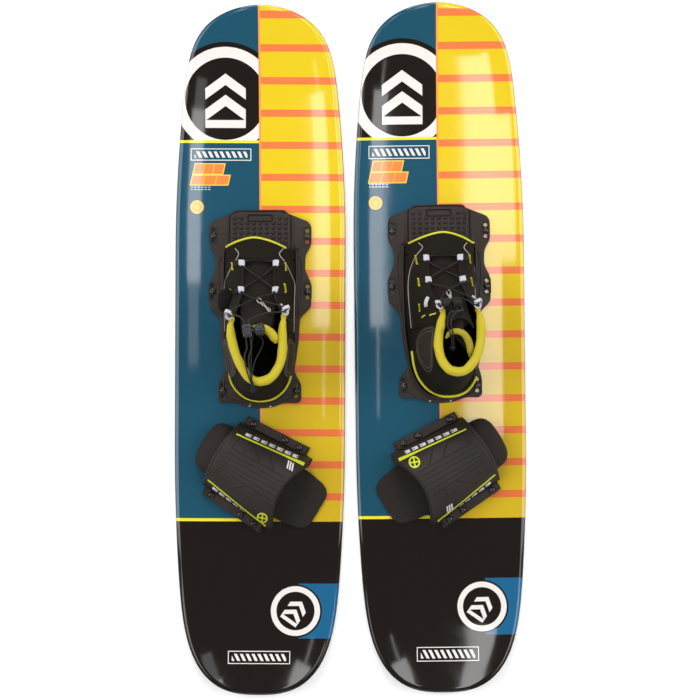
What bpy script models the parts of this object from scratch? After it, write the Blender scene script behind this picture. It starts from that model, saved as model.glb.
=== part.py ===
# Pair of wide trick / combo water skis with lace-up front bindings and angled
# rear toe straps.  Metres, +Z up, +Y towards the ski tips, +X to the right.
# The skis lie side by side on their running bases, origin on the ground at
# the middle of the pair.
import math

import bmesh
import bpy
import numpy as np
from mathutils import Vector

# ------------------------------------------------------------------ dimensions
GAP = 0.0003                 # clearance between touching pieces

# ski
SKI_LENGTH = 1.055           # plan length, tip to tail
SKI_HALF_WIDTH = 0.1312
TIP_TAPER, TIP_TAPER_LEN = 0.0306, 0.374
TIP_ROUND_LEN, TIP_POW_A, TIP_POW_B = 0.198, 6.0, 1.888
TAIL_TAPER, TAIL_TAPER_LEN = 0.0236, 0.390
TAIL_ROUND_LEN, TAIL_POW_A, TAIL_POW_B = 0.231, 4.63, 2.694
TIP_RISE, TAIL_RISE = 0.046, 0.032
FLAT_FRONT, FLAT_REAR = 0.240, -0.300      # the running base is flat between these
CORE_MID, CORE_END = 0.0150, 0.0070        # thickness of the core
SHEET = 0.0012                             # top sheet thickness
EDGE_ROLL = 0.0085                         # width of the rolled deck edge
EDGE_DROP = 0.0042
BASE_ROLL = 0.0050
OUTLINE_STEPS = 26

# where each ski lies: centre x, centre y, turn about Z in degrees
LEFT_PLACE = (-0.1392, -0.0020, -0.22)
RIGHT_PLACE = (0.1380, 0.0019, 0.65)

# deck height where the bindings stand
DECK = CORE_MID + GAP + SHEET

# binding screws
SCREW_R, SCREW_HEAD_R, SCREW_HEAD_H = 0.0025, 0.0048, 0.0026
SCREW_HOLE_R = 0.0029
INSERT_DEPTH = 0.0090
SCREW_SIDES = 8
ADJUST_PITCH = 0.0086                      # pitch of the three holes in each ear

# front binding plate
PLATE_T = 0.0050
PLATFORM_T = 0.0025
WALL_T, WALL_H = 0.0028, 0.0120
PLATE_SCREWS = [(0.0720, 0.1760), (0.0730, 0.0905), (0.0565, -0.0618)]

# boot
SHELL_T = 0.0035
RIM_TUBE_R = 0.0072
LEAN_REF = 0.140

# rear toe strap
STRAP_ANGLE = 30.6
STRIP_HALF_LEN, STRIP_HALF_WID, STRIP_T = 0.0560, 0.0080, 0.0042
STRIP_OFFSET, STRIP_FLARE = 0.0690, 3.4
STRIP_SCREWS = (-0.0400, 0.0140, 0.0390)
OVERLAY_T, LINER_T = 0.0034, 0.0026
PAD_T = 0.0060

LACE_R = 0.0014

# ------------------------------------------------------------------ clean slate
for ob in list(bpy.data.objects):
    bpy.data.objects.remove(ob, do_unlink=True)

parts = bpy.data.collections.new("water_ski_pair")
cutters = bpy.data.collections.new("cutters")
bpy.context.scene.collection.children.link(parts)
bpy.context.scene.collection.children.link(cutters)


def material(name, color, rough, metal=0.0):
    m = bpy.data.materials.new(name)
    m.use_nodes = True
    b = m.node_tree.nodes["Principled BSDF"]
    b.inputs["Base Color"].default_value = (*color, 1.0)
    b.inputs["Roughness"].default_value = rough
    b.inputs["Metallic"].default_value = metal
    m.diffuse_color = (*color, 1.0)
    return m


# ------------------------------------------------------------------ curves
def smooth_keys(keys, t):
    """Catmull-Rom value at t through keys [(t, value...)], values of any width."""
    ts = [k[0] for k in keys]
    vs = np.array([k[1:] for k in keys], dtype=float)
    n = len(ts)
    if t <= ts[0]:
        return vs[0]
    if t >= ts[-1]:
        return vs[-1]
    i = max(j for j in range(n - 1) if ts[j] <= t)

    def slope(j):
        if j == 0:
            return (vs[1] - vs[0]) / (ts[1] - ts[0])
        if j == n - 1:
            return (vs[-1] - vs[-2]) / (ts[-1] - ts[-2])
        return (vs[j + 1] - vs[j - 1]) / (ts[j + 1] - ts[j - 1])

    h = ts[i + 1] - ts[i]
    s = (t - ts[i]) / h
    a, b = vs[i], vs[i + 1]
    return ((2 * s ** 3 - 3 * s ** 2 + 1) * a + (s ** 3 - 2 * s ** 2 + s) * h * slope(i)
            + (-2 * s ** 3 + 3 * s ** 2) * b + (s ** 3 - s ** 2) * h * slope(i + 1))


def smooth_path(points, count):
    """count points, evenly spaced, on a smooth curve through the given points."""
    pts = np.array(points, dtype=float)
    d = np.r_[0, np.cumsum(np.linalg.norm(np.diff(pts, axis=0), axis=1))]
    keys = [(d[i], *pts[i]) for i in range(len(pts))]
    fine = np.array([smooth_keys(keys, t) for t in np.linspace(0, d[-1], 600)])
    s = np.r_[0, np.cumsum(np.linalg.norm(np.diff(fine, axis=0), axis=1))]
    return np.array([[np.interp(u, s, fine[:, k]) for k in range(3)]
                     for u in np.linspace(0, s[-1], count)])


# ------------------------------------------------------------------ building blocks
class Side:
    """One ski: its placing empty, its mirror sign and its own adjustments."""

    def __init__(self, tag, place, mirror, **kw):
        self.tag, self.m = tag, mirror
        self.empty = bpy.data.objects.new(tag + "_frame", None)
        parts.objects.link(self.empty)
        self.empty.location = (place[0], place[1], 0.0)
        self.empty.rotation_euler = (0, 0, math.radians(place[2]))
        self.__dict__.update(kw)


def new_object(side, name, verts, faces, mat, pivot=(0, 0, 0), is_cutter=False, smooth=True):
    """Mesh object from local (mirrored where needed) coordinates, origin at pivot."""
    m = side.m
    me = bpy.data.meshes.new(name)
    bm = bmesh.new()
    vs = [bm.verts.new((m * (v[0] - pivot[0]), v[1] - pivot[1], v[2] - pivot[2])) for v in verts]
    for f in faces:
        f = list(f)
        bm.faces.new([vs[i] for i in (f if m > 0 else reversed(f))])
    bm.normal_update()
    bm.to_mesh(me)
    bm.free()
    ob = bpy.data.objects.new(name, me)
    (cutters if is_cutter else parts).objects.link(ob)
    ob.parent = side.empty
    ob.location = (m * pivot[0], pivot[1], pivot[2])
    if is_cutter:
        ob.hide_render = True
        ob.display_type = "WIRE"
    else:
        me.materials.append(mat)
        if smooth:
            me.shade_smooth()
            me.set_sharp_from_angle(angle=math.radians(35))
    return ob


def grid(nu, nv, fn):
    """Open quad surface: fn(u, v) with u and v from 0 to 1."""
    verts = [fn(i / nu, j / nv) for i in range(nu + 1) for j in range(nv + 1)]
    faces = [(i * (nv + 1) + j, (i + 1) * (nv + 1) + j, (i + 1) * (nv + 1) + j + 1, i * (nv + 1) + j + 1)
             for i in range(nu) for j in range(nv)]
    return verts, faces


def solidify(ob, thickness, offset=-1.0):
    md = ob.modifiers.new("thickness", "SOLIDIFY")
    md.thickness = thickness
    md.offset = offset
    md.use_even_offset = False
    return md


def prism(side, name, outline, z0, z1, mat, is_cutter=False, smooth=False):
    """Flat outline (counter-clockwise, local x/y) made solid between z0 and z1."""
    n = len(outline)
    verts = [(x, y, z0) for x, y in outline] + [(x, y, z1) for x, y in outline]
    faces = [tuple(reversed(range(n))), tuple(range(n, 2 * n))]
    faces += [(i, (i + 1) % n, n + (i + 1) % n, n + i) for i in range(n)]
    return new_object(side, name, verts, faces, mat, is_cutter=is_cutter, smooth=smooth)


def turned(side, name, profile, x, y, mat, sides=SCREW_SIDES, is_cutter=False):
    """Solid turned about the vertical through (x, y); profile is (r, z), bottom to top, r = 0 at both ends."""
    verts, faces = [(x, y, profile[0][1])], []
    for r, z in profile[1:-1]:
        for k in range(sides):
            a = 2 * math.pi * (k + 0.5) / sides
            verts.append((x + r * math.cos(a), y + r * math.sin(a), z))
    verts.append((x, y, profile[-1][1]))
    rings = len(profile) - 2
    last = len(verts) - 1
    for k in range(sides):
        kn = (k + 1) % sides
        faces.append((0, 1 + kn, 1 + k))
        for j in range(rings - 1):
            a, b = 1 + j * sides, 1 + (j + 1) * sides
            faces.append((a + k, a + kn, b + kn, b + k))
        a = 1 + (rings - 1) * sides
        faces.append((a + k, a + kn, last))
    return new_object(side, name, verts, faces, mat, pivot=(x, y, profile[0][1]) if not is_cutter else (0, 0, 0),
                      is_cutter=is_cutter)


def cut(ob, tool, op="DIFFERENCE"):
    md = ob.modifiers.new(op.lower(), "BOOLEAN")
    md.operation = op
    md.solver = "EXACT"
    md.object = tool
    return md


def hole_cutter(side, name, holes, z0, z1, r, sides=SCREW_SIDES):
    """Several upright drills in one cutter object."""
    verts, faces = [], []
    for x, y in holes:
        b = len(verts)
        for z in (z0, z1):
            for k in range(sides):
                a = 2 * math.pi * (k + 0.5) / sides
                verts.append((x + r * math.cos(a), y + r * math.sin(a), z))
        faces.append(tuple(b + k for k in reversed(range(sides))))
        faces.append(tuple(b + sides + k for k in range(sides)))
        for k in range(sides):
            kn = (k + 1) % sides
            faces.append((b + k, b + kn, b + sides + kn, b + sides + k))
    return new_object(side, name, verts, faces, None, is_cutter=True)


# ------------------------------------------------------------------ ski shape
def ski_half_width(y):
    dt, db = SKI_LENGTH / 2 - y, SKI_LENGTH / 2 + y
    w = SKI_HALF_WIDTH
    w -= TIP_TAPER * max(0.0, 1 - dt / TIP_TAPER_LEN) ** 2
    w -= TAIL_TAPER * max(0.0, 1 - db / TAIL_TAPER_LEN) ** 2
    et, eb = max(0.0, 1 - dt / TIP_ROUND_LEN), max(0.0, 1 - db / TAIL_ROUND_LEN)
    w *= max(0.0, 1 - et ** TIP_POW_A) ** (1 / TIP_POW_B)
    w *= max(0.0, 1 - eb ** TAIL_POW_A) ** (1 / TAIL_POW_B)
    return w


def rocker(y):
    """Height of the base above the ground."""
    half = SKI_LENGTH / 2
    if y > FLAT_FRONT:
        return TIP_RISE * ((y - FLAT_FRONT) / (half - FLAT_FRONT)) ** 2.2
    if y < FLAT_REAR:
        return TAIL_RISE * ((FLAT_REAR - y) / (half + FLAT_REAR)) ** 2.2
    return 0.0


def core_thickness(y):
    half = SKI_LENGTH / 2
    if y > FLAT_FRONT:
        k = (y - FLAT_FRONT) / (half - FLAT_FRONT)
    elif y < FLAT_REAR:
        k = (FLAT_REAR - y) / (half + FLAT_REAR)
    else:
        return CORE_MID
    return CORE_MID + (CORE_END - CORE_MID) * (k * k * (3 - 2 * k))


def half_outline(inset, steps=OUTLINE_STEPS):
    """Right half of the plan outline from tip to tail, moved in by inset."""
    ys = [SKI_LENGTH / 2 * math.cos(math.pi * i / steps) for i in range(steps + 1)]
    p = np.array([(ski_half_width(y), y) for y in ys])
    p[0, 0] = p[-1, 0] = 0.0
    out = []
    for i in range(len(p)):
        if i in (0, len(p) - 1):
            n = np.array([0.0, -1.0 if i == 0 else 1.0])
        else:
            t = p[i + 1] - p[i - 1]
            n = np.array([t[1], -t[0]])
            n /= np.linalg.norm(n)
            if n[0] > 0:
                n = -n
        q = p[i] + inset * n
        out.append((max(q[0], 0.0), q[1]))
    return out


def ring_solid(side, name, rings, mat, steps=OUTLINE_STEPS):
    """Solid from stacked outlines; rings = [(inset, z(y))], first one is the
    underside, last one is the top, all with the same number of points."""
    verts, faces, loops = [], [], []
    for inset, zf in rings:
        half = half_outline(inset, steps)
        ids = []
        for x, y in half:                                   # tip to tail on +x
            verts.append((x, y, zf(y)))
            ids.append(len(verts) - 1)
        for x, y in reversed(half[1:-1]):                   # tail to tip on -x
            verts.append((-x, y, zf(y)))
            ids.append(len(verts) - 1)
        loops.append(ids)
    n = len(loops[0])
    for a, b in zip(loops[:-1], loops[1:]):
        for k in range(n):
            kn = (k + 1) % n
            faces.append((a[kn], a[k], b[k], b[kn]))
    for loop, up in ((loops[0], False), (loops[-1], True)):
        for i in range(steps):
            r0, r1 = loop[i], loop[i + 1]
            l0, l1 = loop[(n - i) % n], loop[(n - i - 1) % n]
            quad = [r0, l0, l1, r1]
            quad = [q for k, q in enumerate(quad) if q not in quad[:k]]
            faces.append(tuple(quad) if up else tuple(reversed(quad)))
    return new_object(side, name, verts, faces, mat, smooth=True)


# ------------------------------------------------------------------ boot shape
# Boot coordinates: x across (outer side is -x), y forward, z above the plate.
def sole_curve(s):
    """Outer edge of the upper at the plate, +x half, s = 0 behind the toe piece, 1 at the heel."""
    return smooth_keys([(0.00, 0.0535, 0.1375), (0.18, 0.0540, 0.0970), (0.36, 0.0530, 0.0550),
                        (0.54, 0.0520, 0.0200), (0.70, 0.0505, -0.0150), (0.80, 0.0465, -0.0400),
                        (0.90, 0.0310, -0.0660), (1.00, 0.0000, -0.0790)], s)


def rim_curve(side, s):
    """Top edge of the upper: the lace throat, then the collar line round the ankle."""
    a = side.throat_top
    return smooth_keys([(0.00, 0.0245, 0.1375, 0.0535), (0.16, 0.0240, 0.1040, 0.0660),
                        (0.30, 0.0265, 0.0780, 0.0885), (0.42, a - 0.004, 0.0600, 0.1130),
                        (0.54, a, 0.0330, 0.1300), (0.70, 0.0395, -0.0050, 0.1330),
                        (0.80, 0.0375, -0.0280, 0.1360), (0.90, 0.0245, -0.0480, 0.1385),
                        (1.00, 0.0000, -0.0560, 0.1400)], s)


def lean(side, z):
    return side.lean * (max(z, 0.0) / LEAN_REF) ** 2


def upper(side, s, q, hand):
    """Outer surface of the boot's side; q = 0 at the plate, 1 at the rim; hand = +1 or -1."""
    cx, cy = sole_curve(s)
    ex, ey, ez = rim_curve(side, s)
    k = 1 - math.cos(math.pi * q / 2)
    # the ankle stands more upright than the forefoot
    up = min(1.0, max(0.0, (s - 0.25) / 0.4))
    up = up * up * (3 - 2 * up)
    k = k * (1 - up) + (0.55 * q + 0.45 * q * q) * up
    zz = math.sin(math.pi * q / 2) * (1 - up) + q * up
    x = (cx + (ex - cx) * k) * hand
    y = cy + (ey - cy) * k
    z = ez * zz
    bulge = 0.004 * up * math.sin(math.pi * q) ** 2
    if s > 0.7:
        y -= bulge * (s - 0.7) / 0.3
    x += hand * bulge * (1 - max(0.0, (s - 0.7) / 0.3))
    return x + lean(side, z), y, z + side.z0


def tongue_line(t):
    """Tongue centre line (y, z) from under the toe piece up to the shin."""
    return smooth_keys([(0.00, 0.1480, 0.0440), (0.16, 0.1250, 0.0515), (0.34, 0.0980, 0.0650),
                        (0.50, 0.0780, 0.0830), (0.68, 0.0600, 0.1080), (0.85, 0.0475, 0.1300),
                        (1.00, 0.0410, 0.1450)], t)


def tongue_normal(t):
    a, b = tongue_line(max(0.0, t - 0.01)), tongue_line(min(1.0, t + 0.01))
    d = b - a
    n = np.array([-d[1], d[0]])
    n = -n if n[1] < 0 else n
    return n / np.linalg.norm(n)


def tongue_point(side, t, a, lift=0.0):
    """a = -1..1 across; lift is distance off the outer surface."""
    y, z = tongue_line(t)
    n = tongue_normal(t)
    if n[0] < 0:
        n = -n
    half = 0.0285 - 0.0055 * max(0.0, (t - 0.5) / 0.5)
    sag = 0.0035 + 0.0130 * max(0.0, (t - 0.3) / 0.7) ** 1.3
    off = lift - sag * a * a
    y, z = y + n[0] * off, z + n[1] * off
    return half * a + lean(side, z), y, z + side.z0


def toe_height(y):
    return 0.0550 + 0.0030 * (0.165 - y) / 0.04


# ------------------------------------------------------------------ strap shape
def strap_uv(side, u, v, z):
    """Strap coordinates: u along the foot towards its heel, v across."""
    a = math.radians(STRAP_ANGLE)
    cu, cv = (math.cos(a), -math.sin(a)), (math.sin(a), math.cos(a))
    x0, y0 = side.strap_at
    return x0 + u * cu[0] + v * cv[0], y0 + u * cu[1] + v * cv[1], z


def strap_span(u):
    return 0.0585 + 0.0040 * u / 0.060


def strap_height(u):
    return 0.0560 + 0.0070 * u / 0.060


def arch(v, span, height, p=2.3):
    return height * max(0.0, 1 - abs(v / span) ** p) ** (1 / 2.0)


# ------------------------------------------------------------------ materials
MAT = {
    "core": material("foam_core_and_base", (0.020, 0.019, 0.018), 0.45),
    "sheet": material("gloss_top_sheet", (0.013, 0.093, 0.156), 0.08),
    "plate": material("moulded_plate", (0.045, 0.036, 0.032), 0.55),
    "foam": material("eva_footbed", (0.024, 0.021, 0.019), 0.85),
    "rubber": material("overlay_rubber", (0.045, 0.036, 0.032), 0.6),
    "fabric": material("boot_fabric", (0.013, 0.011, 0.010), 0.85),
    "neoprene": material("neoprene", (0.020, 0.017, 0.015), 0.9),
    "collar": material("collar_fabric", (0.60, 0.52, 0.050), 0.8),
    "lace": material("lace_cord", (0.016, 0.014, 0.013), 0.8),
    "plastic": material("toggle_plastic", (0.050, 0.045, 0.048), 0.35),
    "steel": material("stainless_screw", (0.45, 0.45, 0.45), 0.3, 1.0),
}


# ------------------------------------------------------------------ one ski
def strip_holes(side, sign):
    """Screw places of one clamp strip, in ski coordinates."""
    f = math.radians(STRIP_FLARE) * sign
    return [strap_uv(side, u * math.cos(f), sign * STRIP_OFFSET + u * math.sin(f), 0)[:2] for u in STRIP_SCREWS]


def build_ski(side):
    tag = side.tag
    plate_screws = [(sx * x, y + side.shift) for x, y in PLATE_SCREWS for sx in (-1, 1)]
    strap_screws = strip_holes(side, 1) + strip_holes(side, -1)
    all_screws = plate_screws + strap_screws

    # core with its black running base, blind inserts for the twelve screws
    top = lambda y: rocker(y) + core_thickness(y)
    core = ring_solid(side, tag + "_ski_core", [
        (BASE_ROLL, rocker),
        (0.0, lambda y: rocker(y) + 0.25 * core_thickness(y)),
        (0.0, lambda y: top(y) - EDGE_DROP),
        (EDGE_ROLL, top)], MAT["core"])
    cut(core, hole_cutter(side, tag + "_insert_drills", all_screws, CORE_MID - INSERT_DEPTH,
                          CORE_MID + 0.004, SCREW_HOLE_R))

    # printed top sheet rolled over the deck edge
    low = lambda y: top(y) + GAP
    sheet = ring_solid(side, tag + "_top_sheet", [
        (EDGE_ROLL, low),
        (0.0004, lambda y: low(y) - EDGE_DROP + 0.0002),
        (0.0004, lambda y: low(y) - EDGE_DROP + SHEET),
        (EDGE_ROLL, lambda y: low(y) + SHEET)], MAT["sheet"])
    cut(sheet, hole_cutter(side, tag + "_sheet_drills", all_screws, 0.010, 0.025, SCREW_HOLE_R))

    # ---- front binding plate
    dy = side.shift
    z0 = DECK + GAP
    half = [(0.0000, 0.2164), (0.0370, 0.2164), (0.0416, 0.2112), (0.0739, 0.1985), (0.0785, 0.1910),
            (0.0785, 0.1625), (0.0695, 0.1465), (0.0690, 0.1240), (0.0785, 0.1040), (0.0785, 0.0670),
            (0.0615, 0.0500), (0.0600, 0.0085), (0.0588, -0.0331), (0.0640, -0.0510), (0.0640, -0.0765),
            (0.0580, -0.0812), (0.0385, -0.0800), (0.0200, -0.0875), (0.0000, -0.0892)]
    outline = [(-x, y + dy) for x, y in half[1:-1]] + [(x, y + dy) for x, y in reversed(half)]
    plate = prism(side, tag + "_binding_plate", outline, z0, z0 + PLATE_T, MAT["plate"])
    # raised toe platform
    platform = [(-0.0462, 0.1330), (0.0462, 0.1330), (0.0462, 0.2080), (0.0330, 0.2130),
                (-0.0330, 0.2130), (-0.0462, 0.2080)]
    plat = prism(side, tag + "_platform_form", [(x, y + dy) for x, y in platform],
                 z0 + 0.002, z0 + PLATE_T + PLATFORM_T, None, is_cutter=True)
    cut(plate, plat, "UNION")
    # low wall that cups the boot's sole and heel
    path = [sole_curve(s) for s in (0.0, 0.18, 0.36, 0.54, 0.70, 0.80, 0.87, 0.94, 1.0)]
    path = [(x, y) for x, y in path]
    full = path + [(-x, y) for x, y in reversed(path[:-1])]
    inner, outer = [], []
    for i, p in enumerate(full):
        a, b = np.array(full[max(0, i - 1)]), np.array(full[min(len(full) - 1, i + 1)])
        t = (b - a) / np.linalg.norm(b - a)
        n = np.array([-t[1], t[0]])                       # path runs clockwise seen from above
        n = n if np.dot(n, np.array(p) - np.array([0, 0.03])) > 0 else -n
        p = np.array(p)
        inner.append(p + n * 0.0009)
        outer.append(p + n * (0.0009 + WALL_T))
    band = [(x, y + dy) for x, y in inner] + [(x, y + dy) for x, y in reversed(outer)]
    area = sum(band[i][0] * band[(i + 1) % len(band)][1] - band[(i + 1) % len(band)][0] * band[i][1]
               for i in range(len(band)))
    if area < 0:
        band.reverse()
    wall = prism(side, tag + "_wall_form", band, z0 + 0.002, z0 + PLATE_T + WALL_H, None, is_cutter=True)
    cut(plate, wall, "UNION")
    ear_holes = [(x, y + k * ADJUST_PITCH) for x, y in plate_screws for k in (-1, 0, 1)]
    cut(plate, hole_cutter(side, tag + "_plate_drills", ear_holes, z0 - 0.002, z0 + PLATE_T + 0.002, SCREW_HOLE_R))

    # ---- boot
    side.z0 = z0 + PLATE_T + GAP

    def shift(p):
        return p[0], p[1] + dy, p[2]

    # footbed inside the boot
    foot = [sole_curve(s) for s in (0.02, 0.18, 0.36, 0.54, 0.70, 0.80, 0.88, 0.95)]
    k_in = (0.0535 - SHELL_T - 0.0030) / 0.0535
    foot = [(x * k_in, 0.1300 if i == 0 else y * (k_in if y < -0.03 else 1)) for i, (x, y) in enumerate(foot)]
    heel = (0.0, -0.0790 + SHELL_T + 0.0035)
    bed = [(x, y + dy) for x, y in reversed(foot)] + [(-x, y + dy) for x, y in foot] + [(heel[0], heel[1] + dy)]
    prism(side, tag + "_footbed", bed, side.z0, side.z0 + 0.0050, MAT["foam"])

    # toe piece: an arch over the forefoot, its front edge swept forward at the top
    def toe(u, v):
        th = math.pi * u
        c, s = math.cos(th), math.sin(th)
        yf = 0.1530 + 0.0170 * s ** 1.5
        y = 0.1385 + (yf - 0.1385) * v
        x = 0.0535 * math.copysign(abs(c) ** 0.85, c)
        z = toe_height(y) * s ** 0.85
        return shift((x + lean(side, z), y, z + side.z0))

    ob = new_object(side, tag + "_toe_overlay", *grid(14, 3, toe), MAT["fabric"])
    solidify(ob, SHELL_T)

    # side quarters from the sole to the lace throat
    split = 0.52
    for hand, word in ((1, "inner"), (-1, "outer")):
        if hand > 0:
            fn = lambda u, v: shift(upper(side, split * v, u, 1))
        else:
            fn = lambda u, v: shift(upper(side, split * (1 - v), u, -1))
        ob = new_object(side, f"{tag}_{word}_quarter", *grid(6, 6, fn), MAT["fabric"])
        solidify(ob, SHELL_T)

    # heel counter wraps the back from one quarter to the other
    def counter(u, v):
        k = 2 * v - 1
        s = 1 - abs(k) * (1 - (split + 0.010))
        x, y, z = upper(side, s, u * 0.985, 1 if k < 0 else -1)
        return shift((x, y, z))

    ob = new_object(side, tag + "_heel_counter", *grid(5, 14, counter), MAT["fabric"])
    solidify(ob, SHELL_T)

    # padded tongue, hinged where it is sewn in under the toe piece
    hinge = tongue_point(side, 0.02, 0.0)
    hinge = (hinge[0], hinge[1] + dy, hinge[2] - 0.0015)
    side.tongue_pivot = hinge
    ob = new_object(side, tag + "_tongue",
                    *grid(4, 9, lambda u, v: shift(tongue_point(side, 1 - v, 2 * u - 1))), MAT["fabric"], pivot=hinge)
    solidify(ob, 0.0040)

    # rolled ankle collar: a soft tube along the rim, open at the front
    pts = []
    s_start = 0.44
    n = 22
    for i in range(n + 1):
        k = 2 * i / n - 1
        s = 1 - abs(k) * (1 - s_start)
        ex, ey, ez = rim_curve(side, s)
        hand = 1 if k < 0 else -1
        d = 0.0018
        x = hand * (ex - d) if s < 0.97 else hand * ex
        z = ez + RIM_TUBE_R + 0.0016
        y = ey + d * max(0.0, (s - 0.7) / 0.3)
        pts.append(shift((x + lean(side, z), y, z + side.z0)))
    sides = 8
    verts, faces = [], []
    P = np.array(pts)
    for i, p in enumerate(P):
        t = P[min(n, i + 1)] - P[max(0, i - 1)]
        t /= np.linalg.norm(t)
        b = np.cross(t, (0, 0, 1))
        b /= np.linalg.norm(b)
        c = np.cross(b, t)
        end = min(i, n - i)
        r = RIM_TUBE_R * (0.62, 0.90)[end] if end < 2 else RIM_TUBE_R
        for k in range(sides):
            a = 2 * math.pi * k / sides
            verts.append(tuple(p + b * math.cos(a) * r + c * math.sin(a) * r))
    for i in range(n):
        for k in range(sides):
            kn = (k + 1) % sides
            faces.append((i * sides + k, i * sides + kn, (i + 1) * sides + kn, (i + 1) * sides + k))
    faces.append(tuple(reversed(range(sides))))
    faces.append(tuple(n * sides + k for k in range(sides)))
    ob = new_object(side, tag + "_ankle_collar", verts, faces, MAT["collar"])
    bm = bmesh.new()
    bm.from_mesh(ob.data)
    bmesh.ops.recalc_face_normals(bm, faces=bm.faces)
    bm.to_mesh(ob.data)
    bm.free()

    # ---- cord lock: a block with two cord holes and a sprung push button
    L = side.lock
    if "t" in L:                                             # lying along the tongue
        p0 = np.array(tongue_point(side, L["t"], 0.0, L["lift"]))
        f = np.array(tongue_point(side, L["t"] + 0.06, 0.0)) - np.array(tongue_point(side, L["t"] - 0.06, 0.0))
        c = p0 + np.array([L["x"], dy, 0.0])
    else:                                                    # resting on top of the tongue
        c = np.array(L["at"], dtype=float) + np.array([lean(side, L["at"][2]), dy, side.z0])
        f = np.array(L["along"], dtype=float)
    f /= np.linalg.norm(f)                                   # the cords leave along f
    w = np.array(L["across"], dtype=float)
    w -= f * w.dot(f)
    w /= np.linalg.norm(w)                                   # across, towards the button
    g = np.cross(w, f)                                       # out of the boot
    g = -g if g[2] < 0 else g
    hx, hy, hz = 0.0072, 0.0092, 0.0055                      # half sizes across, along, deep

    def block(name, lo, hi, mat, pivot, cutter=False):
        verts = []
        for a in (lo[0], hi[0]):
            for b in (lo[1], hi[1]):
                for d in (lo[2], hi[2]):
                    verts.append(tuple(c + w * a + f * b + g * d))
        faces = [(0, 1, 3, 2), (4, 6, 7, 5), (0, 4, 5, 1), (2, 3, 7, 6), (0, 2, 6, 4), (1, 5, 7, 3)]
        ob = new_object(side, name, verts, faces, mat, pivot=pivot, is_cutter=cutter, smooth=False)
        bm = bmesh.new()
        bm.from_mesh(ob.data)
        bmesh.ops.recalc_face_normals(bm, faces=bm.faces)
        bm.to_mesh(ob.data)
        bm.free()
        return ob

    def rod(name, a0, axis, segs, mat, pivot, cutter=False, n=8):
        """Turned along axis from a0; segs = [(distance, radius)]."""
        axis = np.array(axis)
        e1 = np.cross(axis, g if abs(axis.dot(g)) < 0.9 else f)
        e1 /= np.linalg.norm(e1)
        e2 = np.cross(axis, e1)
        verts, faces = [], []
        for d, r in segs:
            for k in range(n):
                a = 2 * math.pi * (k + 0.5) / n
                verts.append(tuple(np.array(a0) + axis * d + e1 * r * math.cos(a) + e2 * r * math.sin(a)))
        for j in range(len(segs) - 1):
            for k in range(n):
                kn = (k + 1) % n
                faces.append((j * n + k, j * n + kn, (j + 1) * n + kn, (j + 1) * n + k))
        faces.append(tuple(reversed(range(n))))
        faces.append(tuple((len(segs) - 1) * n + k for k in range(n)))
        ob = new_object(side, name, verts, faces, mat, pivot=pivot, is_cutter=cutter)
        bm = bmesh.new()
        bm.from_mesh(ob.data)
        bmesh.ops.recalc_face_normals(bm, faces=bm.faces)
        bm.to_mesh(ob.data)
        bm.free()
        return ob

    bore = 0.0032                                            # half distance between the cords
    pivot = tuple(c)
    lock = block(tag + "_cord_lock", (-hx, -hy, -hz), (hx, hy, hz), MAT["plastic"], pivot)
    md = lock.modifiers.new("soft_edges", "BEVEL")
    md.width = 0.0012
    md.segments = 1
    for k, sgn in enumerate((-1, 1)):
        cut(lock, rod(f"{tag}_cord_bore_{k}", c + w * sgn * bore - g * 0.0018 - f * 0.02, f,
                      [(0, LACE_R + 0.0005), (0.04, LACE_R + 0.0005)], None, (0, 0, 0), True))
    stem_r = 0.0019
    cut(lock, rod(tag + "_stem_bore", c + g * 0.0029 - w * 0.0040, w,
                  [(0, stem_r + 0.0004), (0.03, stem_r + 0.0004)], None, (0, 0, 0), True))
    base = c + g * 0.0029
    bp = tuple(base + w * (hx + 0.0045))
    rod(tag + "_lock_button", base, w,
        [(0.0015, stem_r), (hx + 0.0042, stem_r), (hx + 0.0043, 0.0062), (hx + 0.0066, 0.0080),
         (hx + 0.0120, 0.0080), (hx + 0.0150, 0.0058)], MAT["plastic"], bp)
    side.lock_world = (c, f, w, g)

    # ---- lace: one cord through the webbing loops, both ends through the lock
    lift = 0.0030

    def on_tongue(t, x, up=lift):
        """Point above the tongue at boot x."""
        y, z = tongue_line(t)
        n = tongue_normal(t)
        if n[0] < 0:
            n = -n
        half = 0.0290
        sag = 0.0035 + 0.0130 * max(0.0, (t - 0.3) / 0.7) ** 1.3
        off = up - 0.4 * sag * min(1.0, abs(x) / half) ** 2
        y, z = y + n[0] * off, z + n[1] * off
        return x + lean(side, z), y + dy, z + side.z0

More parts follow.
